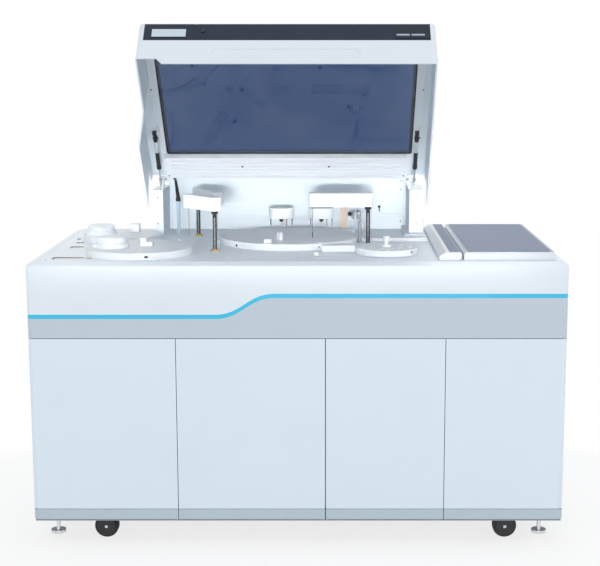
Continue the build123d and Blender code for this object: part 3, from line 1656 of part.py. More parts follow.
stem_top = base_top + 24
with BuildPart() as levelling_feet:
    with BuildSketch(Plane.XY.offset(foot_rest_z)):
        with Locations(*foot_places):
            Circle(foot_radius)
    extrude(amount=foot_pad)
    with BuildSketch(Plane.XY.offset(foot_rest_z)):
        with Locations(*foot_places):
            Circle(foot_stem_radius)
    extrude(amount=stem_top - foot_rest_z)
finish(levelling_feet.part, "levelling_feet")
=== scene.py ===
"""Looks of the floor-standing chemistry analyser, laid out as an add-on and run as a script.

Metres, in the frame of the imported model. Sizes in the code below are written in millimetres.
"""

from math import atan2, cos, pi, radians, sin

import bmesh
import bpy
from mathutils import Matrix, Vector


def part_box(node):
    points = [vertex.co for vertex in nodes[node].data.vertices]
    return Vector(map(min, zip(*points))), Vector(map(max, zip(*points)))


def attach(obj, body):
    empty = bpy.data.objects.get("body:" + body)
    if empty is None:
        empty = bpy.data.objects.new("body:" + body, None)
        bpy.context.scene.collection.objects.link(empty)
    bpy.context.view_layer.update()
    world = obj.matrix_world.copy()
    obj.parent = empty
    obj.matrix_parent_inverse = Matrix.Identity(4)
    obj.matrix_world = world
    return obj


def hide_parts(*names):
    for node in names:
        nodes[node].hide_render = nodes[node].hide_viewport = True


bl_info = {
    "name": "Chemistry analyser",
    "version": (1, 0, 0),
    "blender": (4, 5, 0),
    "location": "3D View > Sidebar > Analyser",
    "description": "Dresses the packed analyser and adds its small fittings and its stage",
    "category": "Object",
}

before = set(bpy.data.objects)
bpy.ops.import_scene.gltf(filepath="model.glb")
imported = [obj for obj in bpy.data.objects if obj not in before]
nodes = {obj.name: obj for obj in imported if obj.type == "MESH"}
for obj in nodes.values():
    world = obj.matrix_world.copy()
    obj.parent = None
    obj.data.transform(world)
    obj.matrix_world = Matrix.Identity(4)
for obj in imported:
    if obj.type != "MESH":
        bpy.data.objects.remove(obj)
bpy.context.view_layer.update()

# ---------------------------------------------------------------- places shared with the part
DECK = 890
HALF_WIDTH = 1000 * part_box("upper_housing")[1].x
FRONT = -425
BACK = 425
LID_TILT = radians(48)
LID_TOP = (FRONT + 704.4, DECK + 203.4)
DISCS = {
    "front_reagent": (-501, FRONT + 215, 165),
    "rear_reagent": (-600, FRONT + 520, 130),
    "reaction": (-38, FRONT + 483, 229),
    "sample": (275, FRONT + 203, 98),
}
ARMS = {
    "front_reagent_arm": (-267, FRONT + 254, 172, (-92, 100)),
    "rear_reagent_arm": (-355, FRONT + 626, 166, (78, -153)),
    "sample_arm": (222, FRONT + 386, 172, (-181, 0)),
}
ARM_HEIGHT = 44
MIXERS = {"left_mixer": -71, "right_mixer": 68}
MIXER_Y = FRONT + 668
STRUTS = {"left_strut": -486, "right_strut": 388}
STRUT_LOW = (237.04, 1068.02)
STRUT_HIGH = (93.54, 1249.0)
CASTER_X, CASTER_Y, CASTER_TRAIL = 628, 325, 21
AXLE_HEIGHT = 37.5
FORK_FACE = 18.4
FOOT_X, FOOT_Y, FOOT_NUT_Z = 749, 385, 76
AXLE_NUT = [(6, 0), (6, 3), (4.5, 4.2)]


def mm(*values):
    """A vector in metres from millimetres."""
    return Vector(values) / 1000


def tone(red, green, blue):
    """A linear colour from the usual 0 to 255 values of a colour chart."""
    shares = [value / 255 for value in (red, green, blue)]
    return tuple(s / 12.92 if s <= 0.04045 else ((s + 0.055) / 1.055) ** 2.4 for s in shares)


def lid_point(x, u, v):
    """A point of the open lid in metres, u forward from its rear line and v below its top sheet."""
    return mm(
        x,
        LID_TOP[0] - u * cos(LID_TILT) - v * sin(LID_TILT),
        LID_TOP[1] + u * sin(LID_TILT) - v * cos(LID_TILT),
    )


LID_IN = Vector((0, -sin(LID_TILT), -cos(LID_TILT)))
LID_FORWARD = Vector((0, -cos(LID_TILT), sin(LID_TILT)))


# ---------------------------------------------------------------- settings
def colour_setting(name, description, default):
    """A colour that a user may change."""
    return bpy.props.FloatVectorProperty(
        name=name, description=description, default=default, subtype="COLOR", size=3, min=0, max=1
    )


def length_setting(name, description, millimetres):
    """A length that a user may change."""
    return bpy.props.FloatProperty(
        name=name, description=description, default=millimetres / 1000, min=0, unit="LENGTH"
    )


class AnalyserFinishes(bpy.types.PropertyGroup):
    """Colours of the analyser's finishes."""

    body: colour_setting("Body paint", "Paint of the housing and the tower", tone(229, 238, 245))
    door: colour_setting("Door paint", "Paint of the four doors", tone(224, 235, 245))
    skirt: colour_setting("Skirt", "Strip along the foot of the doors", tone(186, 201, 211))
    band: colour_setting("Band", "Grey band below the stripe", tone(195, 207, 217))
    stripe: colour_setting("Stripe", "Curved accent stripe", tone(38, 192, 232))
    plastic: colour_setting("White plastic", "Covers on the deck", tone(226, 231, 236))
    console: colour_setting("Console panel", "Grey panel of the console", tone(100, 118, 145))
    glass: colour_setting("Glass", "Tint of the lid's window", (0.035, 0.072, 0.19))
    fascia: colour_setting("Fascia", "Strip along the lid's front edge", tone(30, 41, 64))
    black: colour_setting("Black plastic", "Shafts, cones and strut tubes", tone(30, 31, 34))


class AnalyserSizes(bpy.types.PropertyGroup):
    """Sizes of the analyser's small fittings."""

    screw_radius: length_setting("Screw head radius", "Radius of the small screw heads", 3.4)
    rack_pitch: length_setting("Rack pitch", "Distance between the teeth of a lifting rack", 4)
    edge_radius: length_setting("Edge radius", "Rounding of pressed and moulded edges", 0.7)
    pipe_radius: length_setting("Pipe radius", "Radius of the bent wash pipe", 1.5)
    cap_ribs: bpy.props.IntProperty(
        name="Cap ribs", description="Grip ribs round a tank cap", default=28, min=8, max=60
    )
    lamp_level: bpy.props.FloatProperty(
        name="Lamp level", description="Strength of all lamps of the stage", default=1.0, min=0
    )


# ---------------------------------------------------------------- node helpers
def put(tree, kind, sockets=None, **settings):
    """Adds a node with its settings; sockets takes values or outputs to link."""
    made = tree.nodes.new(kind)
    for key, value in settings.items():
        setattr(made, key, value)
    for key, value in (sockets or {}).items():
        if isinstance(value, bpy.types.NodeSocket):
            tree.links.new(value, made.inputs[key])
        else:
            made.inputs[key].default_value = value
    return made


def new_group(name, inputs, outputs):
    """A shader node group with named sockets: its tree, its inputs and its outputs."""
    tree = bpy.data.node_groups.new(name, "ShaderNodeTree")
    for label, kind, default in inputs:
        socket = tree.interface.new_socket(label, in_out="INPUT", socket_type=kind)
        if default is not None:
            socket.default_value = default
    for label, kind in outputs:
        tree.interface.new_socket(label, in_out="OUTPUT", socket_type=kind)
    return tree, put(tree, "NodeGroupInput").outputs, put(tree, "NodeGroupOutput").inputs


FLOAT, VECTOR, COLOUR = "NodeSocketFloat", "NodeSocketVector", "NodeSocketColor"


def skin_group():
    """Moulded or painted skin: soft soiling in the colour, uneven gloss and a fine orange peel."""
    found = bpy.data.node_groups.get("skin")
    if found:
        return found
    tree, given, out = new_group(
        "skin",
        [("Vector", VECTOR, None), ("Colour", COLOUR, None), ("Soil", FLOAT, 0.05),
         ("Grain", FLOAT, 700.0), ("Roughness", FLOAT, 0.4), ("Unevenness", FLOAT, 0.08)],
        [("Colour", COLOUR), ("Roughness", FLOAT), ("Height", FLOAT)],
    )
    cloud = put(tree, "ShaderNodeTexNoise", {"Vector": given["Vector"], "Scale": 4.5, "Detail": 5.0,
                                             "Roughness": 0.62})
    smear = put(tree, "ShaderNodeTexNoise", {"Vector": given["Vector"], "Scale": 38.0,
                                             "Detail": 3.0})
    peel = put(tree, "ShaderNodeTexNoise", {"Vector": given["Vector"], "Scale": given["Grain"],
                                            "Detail": 2.0})
    patch = put(tree, "ShaderNodeMapRange", {"Value": cloud.outputs["Fac"], "From Min": 0.42,
                                             "From Max": 0.78}, interpolation_type="SMOOTHSTEP")
    amount = put(tree, "ShaderNodeMath", {0: patch.outputs[0], 1: given["Soil"]},
                 operation="MULTIPLY")
    dusty = put(tree, "ShaderNodeMix", {0: amount.outputs[0], 6: given["Colour"],
                                        7: (0.36, 0.36, 0.35, 1)}, data_type="RGBA")
    tree.links.new(dusty.outputs[2], out["Colour"])
    swing = put(tree, "ShaderNodeMath", {0: smear.outputs["Fac"], 1: 0.5}, operation="SUBTRACT")
    rough = put(tree, "ShaderNodeMath", {0: swing.outputs[0], 1: given["Unevenness"],
                                         2: given["Roughness"]}, operation="MULTIPLY_ADD")
    tree.links.new(rough.outputs[0], out["Roughness"])
    tree.links.new(peel.outputs["Fac"], out["Height"])
    return tree


def zone_group():
    """A mask that is 1 inside a box and fades to 0 over a soft edge."""
    found = bpy.data.node_groups.get("zone")
    if found:
        return found
    tree, given, out = new_group(
        "zone",
        [("Vector", VECTOR, None), ("Centre", VECTOR, None), ("Half", VECTOR, None),
         ("Soft", FLOAT, 0.0005)],
        [("Mask", FLOAT)],
    )
    offset = put(tree, "ShaderNodeVectorMath", {0: given["Vector"], 1: given["Centre"]},
                 operation="SUBTRACT")
    away = put(tree, "ShaderNodeVectorMath", {0: offset.outputs[0]}, operation="ABSOLUTE")
    past = put(tree, "ShaderNodeVectorMath", {0: away.outputs[0], 1: given["Half"]},
               operation="SUBTRACT")
    parts = put(tree, "ShaderNodeSeparateXYZ", {0: past.outputs[0]}).outputs
    most = put(tree, "ShaderNodeMath", {0: parts[0], 1: parts[1]}, operation="MAXIMUM")
    most = put(tree, "ShaderNodeMath", {0: most.outputs[0], 1: parts[2]}, operation="MAXIMUM")
    fade = put(tree, "ShaderNodeMapRange", {"Value": most.outputs[0], "From Min": 0.0,
                                            "From Max": given["Soft"], "To Min": 1.0,
                                            "To Max": 0.0})
    tree.links.new(fade.outputs[0], out["Mask"])
    return tree


def streak_group():
    """Brushed or drawn metal: long thin streaks along one axis, in gloss and in height."""
    found = bpy.data.node_groups.get("streak")
    if found:
        return found
    tree, given, out = new_group(
        "streak",
        [("Vector", VECTOR, None), ("Stretch", VECTOR, None), ("Roughness", FLOAT, 0.3),
         ("Depth", FLOAT, 0.15), ("Colour", COLOUR, None)],
        [("Colour", COLOUR), ("Roughness", FLOAT), ("Height", FLOAT)],
    )
    drawn = put(tree, "ShaderNodeVectorMath", {0: given["Vector"], 1: given["Stretch"]},
                operation="MULTIPLY")
    lines = put(tree, "ShaderNodeTexNoise", {"Vector": drawn.outputs[0], "Scale": 900.0,
                                             "Detail": 3.0})
    swing = put(tree, "ShaderNodeMath", {0: lines.outputs["Fac"], 1: 0.5}, operation="SUBTRACT")
    rough = put(tree, "ShaderNodeMath", {0: swing.outputs[0], 1: given["Depth"],
                                         2: given["Roughness"]}, operation="MULTIPLY_ADD")
    shade = put(tree, "ShaderNodeMath", {0: swing.outputs[0], 1: 0.25, 2: 1.0},
                operation="MULTIPLY_ADD")
    toned = put(tree, "ShaderNodeVectorMath", {0: given["Colour"], "Scale": shade.outputs[0]},
                operation="SCALE")
    tree.links.new(toned.outputs[0], out["Colour"])
    tree.links.new(rough.outputs[0], out["Roughness"])
    tree.links.new(lines.outputs["Fac"], out["Height"])
    return tree


def place_group(tree, group, sockets):
    """Puts a shared group into a material and links or fills its inputs."""
    return put(tree, "ShaderNodeGroup", sockets, node_tree=group).outputs


def start(name):
    """A new material: its tree, its shader and its object coordinates."""
    material = bpy.data.materials.new(name)
    material.use_nodes = True
    tree = material.node_tree
    return material, tree, tree.nodes["Principled BSDF"], put(tree, "ShaderNodeTexCoord").outputs[
        "Object"]


def lid_coordinates(tree, where):
    """Object coordinates turned so that X stays, Y is minus u and Z is minus v of the open lid."""
    turn = Matrix.Rotation(LID_TILT, 3, "X")
    shift = turn @ mm(0, LID_TOP[0], LID_TOP[1])
    return put(tree, "ShaderNodeMapping", {"Vector": where, "Rotation": (LID_TILT, 0, 0),
                                           "Location": -shift}).outputs[0]


def as_colour(rgb):
    """Four values for a colour socket."""
    return (*tuple(rgb)[:3], 1.0)


def bumped(tree, shader, height, distance):
    """Feeds a height into the shader's normal."""
    bump = put(tree, "ShaderNodeBump", {"Height": height, "Strength": 1.0, "Distance": distance})
    tree.links.new(bump.outputs[0], shader.inputs["Normal"])


def painted(name, colour, rough=0.38, soil=0.05, grain=700.0, peel=0.00004, zones=(), lid=False,
            coat=0.0, sheen=0.5):
    """Paint or moulded plastic; a zone is a box with its own colour, roughness and metallic."""
    found = bpy.data.materials.get(name)
    if found:
        return found
    material, tree, shader, where = start(name)
    skin = place_group(tree, skin_group(), {
        "Vector": where, "Colour": as_colour(colour), "Soil": soil, "Grain": grain,
        "Roughness": rough})
    tint, gloss, metal = skin["Colour"], skin["Roughness"], None
    here = lid_coordinates(tree, where) if lid else where
    for low, high, zone_colour, zone_rough, zone_metal in zones:
        centre = (Vector(low) + Vector(high)) / 2000
        half = (Vector(high) - Vector(low)) / 2000
        mask = place_group(tree, zone_group(), {
            "Vector": here, "Centre": centre, "Half": half, "Soft": 0.0004})["Mask"]
        tint = put(tree, "ShaderNodeMix", {0: mask, 6: tint, 7: as_colour(zone_colour)},
                   data_type="RGBA").outputs[2]
        gloss = put(tree, "ShaderNodeMix", {0: mask, 2: gloss, 3: zone_rough}).outputs[0]
        if zone_metal:
            metal = put(tree, "ShaderNodeMath", {0: mask, 1: metal or 0.0},
                        operation="MAXIMUM").outputs[0]
    tree.links.new(tint, shader.inputs["Base Color"])
    tree.links.new(gloss, shader.inputs["Roughness"])
    if metal:
        tree.links.new(metal, shader.inputs["Metallic"])
    shader.inputs["Coat Weight"].default_value = coat
    shader.inputs["Specular IOR Level"].default_value = sheen
    bumped(tree, shader, skin["Height"], peel)
    return material


def drawn_metal(name, colour, rough=0.3, stretch=(0.02, 1.0, 1.0), depth=0.2, cut=0.00002):
    """Bare metal with streaks along the axis whose stretch is small."""
    found = bpy.data.materials.get(name)
    if found:
        return found
    material, tree, shader, where = start(name)
    streak = place_group(tree, streak_group(), {
        "Vector": where, "Stretch": stretch, "Roughness": rough, "Depth": depth,
        "Colour": as_colour(colour)})
    tree.links.new(streak["Colour"], shader.inputs["Base Color"])
    tree.links.new(streak["Roughness"], shader.inputs["Roughness"])
    shader.inputs["Metallic"].default_value = 1.0
    bumped(tree, shader, streak["Height"], cut)
    return material


def window_glass(name, tint):
    """Dark tinted safety glass, clear enough to see through."""
    found = bpy.data.materials.get(name)
    if found:
        return found
    material, tree, shader, where = start(name)
    skin = place_group(tree, skin_group(), {
        "Vector": where, "Colour": as_colour(tint), "Soil": 0.10, "Roughness": 0.03,
        "Unevenness": 0.02})
    tree.links.new(skin["Colour"], shader.inputs["Base Color"])
    tree.links.new(skin["Roughness"], shader.inputs["Roughness"])
    shader.inputs["Transmission Weight"].default_value = 0.9
    shader.inputs["IOR"].default_value = 1.6
    shader.inputs["Coat Weight"].default_value = 1.0
    shader.inputs["Coat Roughness"].default_value = 0.02
    return material


# ---------------------------------------------------------------- the shared finishes
def finishes():
    """The user's colours."""
    return bpy.context.scene.analyser_finishes


def sizes():
    """The user's sizes."""
    return bpy.context.scene.analyser_sizes


def white_plastic():
    """Moulded parts on the deck."""
    return painted("moulded_white", finishes().plastic, rough=0.36, soil=0.05, grain=900)


def body_paint():
    """Enamel of the housing."""
    return painted("body_paint", finishes().body, rough=0.36, soil=0.04, grain=600)


def black_plastic():
    """Moulded black parts."""
    return painted("moulded_black", finishes().black, rough=0.42, soil=0.10, grain=1400,
                   peel=0.00008)


def steel():
    """Turned steel of screws, nuts and pins."""
    return drawn_metal("turned_steel", (0.62, 0.64, 0.66), rough=0.26, stretch=(1.0, 1.0, 0.03))


def rubber():
    """Tyres and the window's gasket."""
    return painted("black_rubber", tone(26, 27, 30), rough=0.62, soil=0.25, grain=1800, peel=0.0001)


# ---------------------------------------------------------------- shape helpers
def block(bm, low, high, edge=0.0):
    """A box between two corners, in millimetres, with rounded edges."""
    verts = bmesh.ops.create_cube(bm, size=1.0)["verts"]
    low, high = mm(*low), mm(*high)
    bmesh.ops.scale(bm, vec=high - low, verts=verts)
    bmesh.ops.translate(bm, vec=(low + high) / 2, verts=verts)
    if edge:
        edges = list({e for v in verts for e in v.link_edges})
        made = bmesh.ops.bevel(bm, geom=edges, offset=edge / 1000, segments=2, profile=0.5,
                               affect="EDGES", material=-1)
        verts = list({v for f in made["faces"] for v in f.verts})
    return verts


def turned(bm, outline, foot, axis=(0, 0, 1), steps=28):
    """A turned solid: outline holds (radius, height) in millimetres from the foot upwards.

    An outline that ends where it starts makes a ring with an open bore.
    """
    before = set(bm.verts)
    points = outline
    if outline[0] != outline[-1]:
        points = [(0, outline[0][1]), *outline, (0, outline[-1][1])]
    verts = [bm.verts.new((r / 1000, 0, h / 1000)) for r, h in points]
    edges = [bm.edges.new(pair) for pair in zip(verts, verts[1:])]
    bmesh.ops.spin(bm, geom=[*verts, *edges], cent=(0, 0, 0), axis=(0, 0, 1), angle=2 * pi,
                   steps=steps, use_merge=True)
    made = [v for v in bm.verts if v not in before]
    bmesh.ops.remove_doubles(bm, verts=made, dist=1e-7)
    made = [v for v in bm.verts if v not in before]
    turn = Vector((0, 0, 1)).rotation_difference(Vector(axis)).to_matrix().to_4x4()
    bmesh.ops.transform(bm, matrix=Matrix.Translation(foot) @ turn, verts=made)
    return made


def screw(bm, foot, axis, radius=None):
    """A pan head screw with a socket; the foot is where its head meets the sheet."""
    r = 1000 * (radius or sizes().screw_radius)
    turned(bm, [(r, 0), (r, 0.35 * r), (0.82 * r, 0.58 * r), (0.45 * r, 0.62 * r),
                (0.42 * r, 0.25 * r)], foot, axis, steps=16)


def pipe(name, points, radius):
    """A round bar along a smooth curve through a few points in millimetres."""
    curve = bpy.data.curves.new(name, "CURVE")
    curve.dimensions = "3D"
    curve.bevel_depth = radius
    curve.bevel_resolution = 3
    curve.use_fill_caps = True
    spline = curve.splines.new("NURBS")
    spline.points.add(len(points) - 1)
    for point, place in zip(spline.points, points):
        point.co = (*mm(*place), 1.0)
    spline.order_u = 3
    spline.use_endpoint_u = True
    spline.resolution_u = 8
    holder = bpy.data.objects.new(name, curve)
    bpy.context.scene.collection.objects.link(holder)
    bpy.context.view_layer.update()
    mesh = bpy.data.meshes.new_from_object(
        holder.evaluated_get(bpy.context.evaluated_depsgraph_get())
    )
    bpy.data.objects.remove(holder)
    bm = bmesh.new()
    bm.from_mesh(mesh)
    return bm


def keep(bm, name, material, body, sharp=35):
    """Closes a mesh into a finished piece that rides on a body."""
    bmesh.ops.remove_doubles(bm, verts=bm.verts, dist=1e-7)
    bmesh.ops.recalc_face_normals(bm, faces=bm.faces)
    mesh = bpy.data.meshes.new(name)
    bm.to_mesh(mesh)
    bm.free()
    mesh.materials.append(material)
    mesh.shade_smooth()
    mesh.set_sharp_from_angle(angle=radians(sharp))
    made = bpy.data.objects.new(name, mesh)
    bpy.context.scene.collection.objects.link(made)
    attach(made, body)
    return made


def dress(node, material, edge=None):
    """Gives a node its finish, and rounds its edges with live modifiers where asked."""
    shown = nodes[node]
    shown.data.materials.clear()
    shown.data.materials.append(material)
    if edge:
        weld = shown.modifiers.new("weld", "WELD")
        weld.merge_threshold = 0.000002
        bevel = shown.modifiers.new("edge", "BEVEL")
        bevel.width = edge / 1000
        bevel.segments = 2
        bevel.limit_method = "ANGLE"
        bevel.angle_limit = radians(50)
        bevel.harden_normals = True


class PieceOperator:
    """What every operator of this file shares."""

    bl_options = {"REGISTER", "UNDO"}


# ---------------------------------------------------------------- stage
class ANALYSER_OT_stage(PieceOperator, bpy.types.Operator):
    """Pale floor, white surroundings, soft lamps and the camera"""

    bl_idname = "analyser.stage"
    bl_label = "Stage"

    def floor(self):
        """A wide pale floor that fades to plain white away from the cabinet."""
        bm = bmesh.new()
        bmesh.ops.create_grid(bm, x_segments=8, y_segments=8, size=9.0)
        mesh = bpy.data.meshes.new("studio_floor")
        bm.to_mesh(mesh)
        bm.free()
        made = bpy.data.objects.new("studio_floor", mesh)
        bpy.context.scene.collection.objects.link(made)
        material, tree, shader, where = start("studio_floor")
        skin = place_group(tree, skin_group(), {
            "Vector": where, "Colour": (0.93, 0.94, 0.95, 1), "Soil": 0.01, "Roughness": 0.7})
        tree.links.new(skin["Colour"], shader.inputs["Base Color"])
        tree.links.new(skin["Roughness"], shader.inputs["Roughness"])
        shader.inputs["Specular IOR Level"].default_value = 0.2
        flat = put(tree, "ShaderNodeVectorMath", {0: where, 1: (0.62, 0.95, 1.0)},
                   operation="MULTIPLY")
        reach = put(tree, "ShaderNodeVectorMath", {0: flat.outputs[0]}, operation="LENGTH")
        far = put(tree, "ShaderNodeMapRange", {"Value": reach.outputs["Value"], "From Min": 0.4,
                                               "From Max": 1.0}, interpolation_type="SMOOTHSTEP")
        path = put(tree, "ShaderNodeLightPath").outputs
        seen = put(tree, "ShaderNodeMath", {0: path["Is Camera Ray"], 1: path["Is Glossy Ray"]},
                   operation="MAXIMUM")
        seen = put(tree, "ShaderNodeMath", {0: seen.outputs[0], 1: path["Is Transmission Ray"]},
                   operation="MAXIMUM")
        light = put(tree, "ShaderNodeMath", {0: far.outputs[0], 1: 0.78}, operation="MAXIMUM")
        share = put(tree, "ShaderNodeMath", {0: seen.outputs[0], 1: light.outputs[0]},
                    operation="MULTIPLY")
        white = put(tree, "ShaderNodeEmission", {"Color": (1, 1, 1, 1), "Strength": 1.0})
        mixed = put(tree, "ShaderNodeMixShader", {0: share.outputs[0], 1: shader.outputs[0],
                                                  2: white.outputs[0]})
        tree.links.new(mixed.outputs[0], tree.nodes["Material Output"].inputs["Surface"])
        mesh.materials.append(material)

    def world(self):
        """White to the camera and to reflections, and an even pale light on the object."""
        world = bpy.data.worlds.new("studio")
        bpy.context.scene.world = world
        world.use_nodes = True
        tree = world.node_tree
        back = tree.nodes["Background"]
        back.inputs["Color"].default_value = (0.96, 0.98, 1.0, 1)
        path = put(tree, "ShaderNodeLightPath").outputs
        seen = put(tree, "ShaderNodeMath", {0: path["Is Camera Ray"],
                                            1: path["Is Transmission Ray"]}, operation="MAXIMUM")
        seen = put(tree, "ShaderNodeMath", {0: seen.outputs[0], 1: path["Is Glossy Ray"]},
                   operation="MAXIMUM")
        back.inputs["Strength"].default_value = 0.72
        white = put(tree, "ShaderNodeBackground", {"Color": (1, 1, 1, 1), "Strength": 1.0})
        mixed = put(tree, "ShaderNodeMixShader", {0: seen.outputs[0], 1: back.outputs[0],
                                                  2: white.outputs[0]})
        tree.links.new(mixed.outputs[0], tree.nodes["World Output"].inputs["Surface"])

    def lamp(self, name, place, aim, size, power):
        """A large soft lamp that looks at a point."""
        light = bpy.data.lights.new(name, "AREA")
        light.shape = "DISK"
        light.size = size
        light.energy = power * sizes().lamp_level
        made = bpy.data.objects.new(name, light)
        bpy.context.scene.collection.objects.link(made)
        made.location = place
        made.rotation_euler = (Vector(aim) - Vector(place)).to_track_quat("-Z", "Y").to_euler()
        return made

    def execute(self, context):
        scene = context.scene
        scene.view_settings.view_transform = "Standard"
        self.floor()
        self.world()
        self.lamp("main_lamp", (-2.2, -3.6, 3.6), (0, 0, 0.8), 2.6, 26)
        self.lamp("fill_lamp", (0.3, -4.6, 1.3), (0, 0.3, 0.9), 3.0, 17)
        self.lamp("side_lamp", (3.4, -1.8, 2.6), (0, 0, 0.8), 2.4, 19)
        # a level strip of light that reaches the wall under the open lid
        strip = self.lamp("strip_lamp", (-0.05, -2.4, 1.13), (-0.05, 0.43, 1.03), 1.5, 1.3)
        strip.data.shape = "RECTANGLE"
        strip.data.size_y = 0.12
        strip.data.spread = radians(14)
        strip.visible_camera = False
        strip.visible_glossy = False
        self.lamp("rear_lamp", (0.4, 2.6, 3.4), (0, 0.2, 1.0), 2.2, 24)
        data = bpy.data.cameras.new("photo_camera")
        data.sensor_width = 36
        data.lens = 79.92
        data.shift_x = -0.05
        data.clip_end = 60
        camera = bpy.data.objects.new("photo_camera", data)
        camera.location = (0.098, -4.361, 1.488)
        camera.rotation_euler = (radians(80.5), 0, 0)
        scene.collection.objects.link(camera)
        scene.camera = camera
        return {"FINISHED"}


# ---------------------------------------------------------------- cabinet
class ANALYSER_OT_cabinet(PieceOperator, bpy.types.Operator):
    """Paint of the cabinet, its doors, band and stripe, and the screws of its panels"""

    bl_idname = "analyser.cabinet"
    bl_label = "Cabinet"

    def execute(self, context):
        colours = finishes()
        edge = 1000 * sizes().edge_radius
        skirt = ((-900, FRONT - 5, 80), (900, FRONT + 30, 122.6), colours.skirt, 0.42, 0)
        # the inside of the groove between door and skirt is painted dark grey: painted shade in the
        # recess
        groove_shade = ((-900, FRONT + 0.4, 122.0), (900, FRONT + 5, 124.4), tone(120, 130, 142), 0.6, 0)
        door = painted("door_enamel", colours.door, rough=0.34, soil=0.035, grain=520,
                       zones=[skirt, groove_shade])
        for number in range(1, 5):
            dress(f"door_{number}", door, edge)
        dress("upper_housing", body_paint(), edge)
        dress("front_band", painted("band_paint", colours.band, rough=0.36, soil=0.04), 0.4)
        dress("accent_stripe", painted("stripe_enamel", colours.stripe, rough=0.22, soil=0.03,
                                       peel=0.00002, coat=0.6))
        dress("cabinet_panels", body_paint())
        dress("base_frame", painted("frame_paint", tone(150, 155, 162), rough=0.5, soil=0.25,
                                    grain=400, peel=0.0001))
        bm = bmesh.new()
        for side in (-1, 1):
            for y in (-370, -130, 130, 370):
                for z in (110, 640):
                    screw(bm, mm(side * HALF_WIDTH, y, z), (side, 0, 0))
        for x in (-780, -520, -260, 0, 200, 560, 780):
            for z in (106, 644):
                screw(bm, mm(x, BACK, z), (0, 1, 0))
        keep(bm, "panel_screws", steel(), "root")
        return {"FINISHED"}


# ---------------------------------------------------------------- deck
class ANALYSER_OT_deck(PieceOperator, bpy.types.Operator):
    """Deck plate, disc covers and tubs, with their rim windows, seals and screws"""

    bl_idname = "analyser.deck"
    bl_label = "Deck"

    def rim_window(self, bm, disc, angle, z, wide, tall, round_window=False):
        """A small dark window let into the rim of a disc's cover."""
        x, y, radius = DISCS[disc]
        out = Vector((cos(angle), sin(angle), 0))
        foot = mm(x, y, z) + out * (radius - 1.2) / 1000
        if round_window:
            half = wide / 2
            turned(bm, [(half, 0), (half, 1.5), (half - 0.5, 1.9), (half - 1.2, 1.5)], foot, out,
                   steps=20)
            return
        verts = block(bm, (0, -wide / 2, -tall / 2), (1.9, wide / 2, tall / 2), 0.4)
        turn = Matrix.Translation(foot) @ Matrix.Rotation(angle, 4, "Z")
        bmesh.ops.transform(bm, matrix=turn, verts=verts)

    def execute(self, context):
        colours = finishes()
        deck = painted("deck_paint", colours.body, rough=0.3, soil=0.05, grain=500)
        dress("deck_plate", deck)
        for name in ("fixed_reagent_covers", "front_reagent_cover", "rear_reagent_cover",
                     "code_readers", "reaction_cover", "deck_fittings", "sample_disc"):
            dress(name, white_plastic(), 0.5)
        for name in ("disc_tubs", "front_reagent_carousel", "rear_reagent_carousel"):
            dress(name, white_plastic())
        dress("reaction_ring", painted("ring_plastic", tone(205, 210, 214), rough=0.42, soil=0.08))

        bm = bmesh.new()
        self.rim_window(bm, "front_reagent", atan2(-159.6, 42), 899.5, 11, 6)
        self.rim_window(bm, "reaction", atan2(-158.7, -166), 898, 9, 9, True)
        self.rim_window(bm, "reaction", atan2(-205, 101), 900, 5, 5, True)
        keep(bm, "rim_windows", black_plastic(), "root")
        bm = bmesh.new()
        self.rim_window(bm, "sample", atan2(-63, 75), 903, 7, 5)
        keep(bm, "sample_rim_window", black_plastic(), "sample_disc")

        bm = bmesh.new()
        block(bm, (50, -277, DECK), (64, -265, DECK + 11), 2)
        turned(bm, [(6, 0), (6, 9), (5, 11), (3, 12)], mm(-392, -65, DECK + 12))
        keep(bm, "deck_pegs", white_plastic(), "root")

        brown = painted("seal_brown", tone(150, 116, 84), rough=0.6, soil=0.2)
        bm = bmesh.new()
        cups = [(-705, FRONT + 103, 94, 56), (-641, FRONT + 100, 20, 30),
                (-722, FRONT + 345, 42, 50), (-732, FRONT + 453, 26, 40),
                (-752, FRONT + 541, 12, 36)]
        for x, y, length, breadth in cups:
            for side in (-1, 1):
                block(bm, (x - length / 2 + 3, y + side * (breadth / 2 - 1.6) - 0.8, DECK - 4),
                      (x + length / 2 - 3, y + side * (breadth / 2 - 1.6) + 0.8, DECK - 1.8), 0.3)
                block(bm, (x + side * (length / 2 - 1.6) - 0.8, y - breadth / 2 + 3, DECK - 4),
                      (x + side * (length / 2 - 1.6) + 0.8, y + breadth / 2 - 3, DECK - 1.8), 0.3)
        keep(bm, "cup_seals", brown, "root")

        bm = bmesh.new()
        spots = [(-760, -385), (-420, -385), (0, -385), (-760, 385), (-560, 330), (-420, 385)]
        for x, y in spots:
            screw(bm, mm(x, y, DECK), (0, 0, 1), 0.0028)
        keep(bm, "deck_screws", steel(), "root")
        return {"FINISHED"}


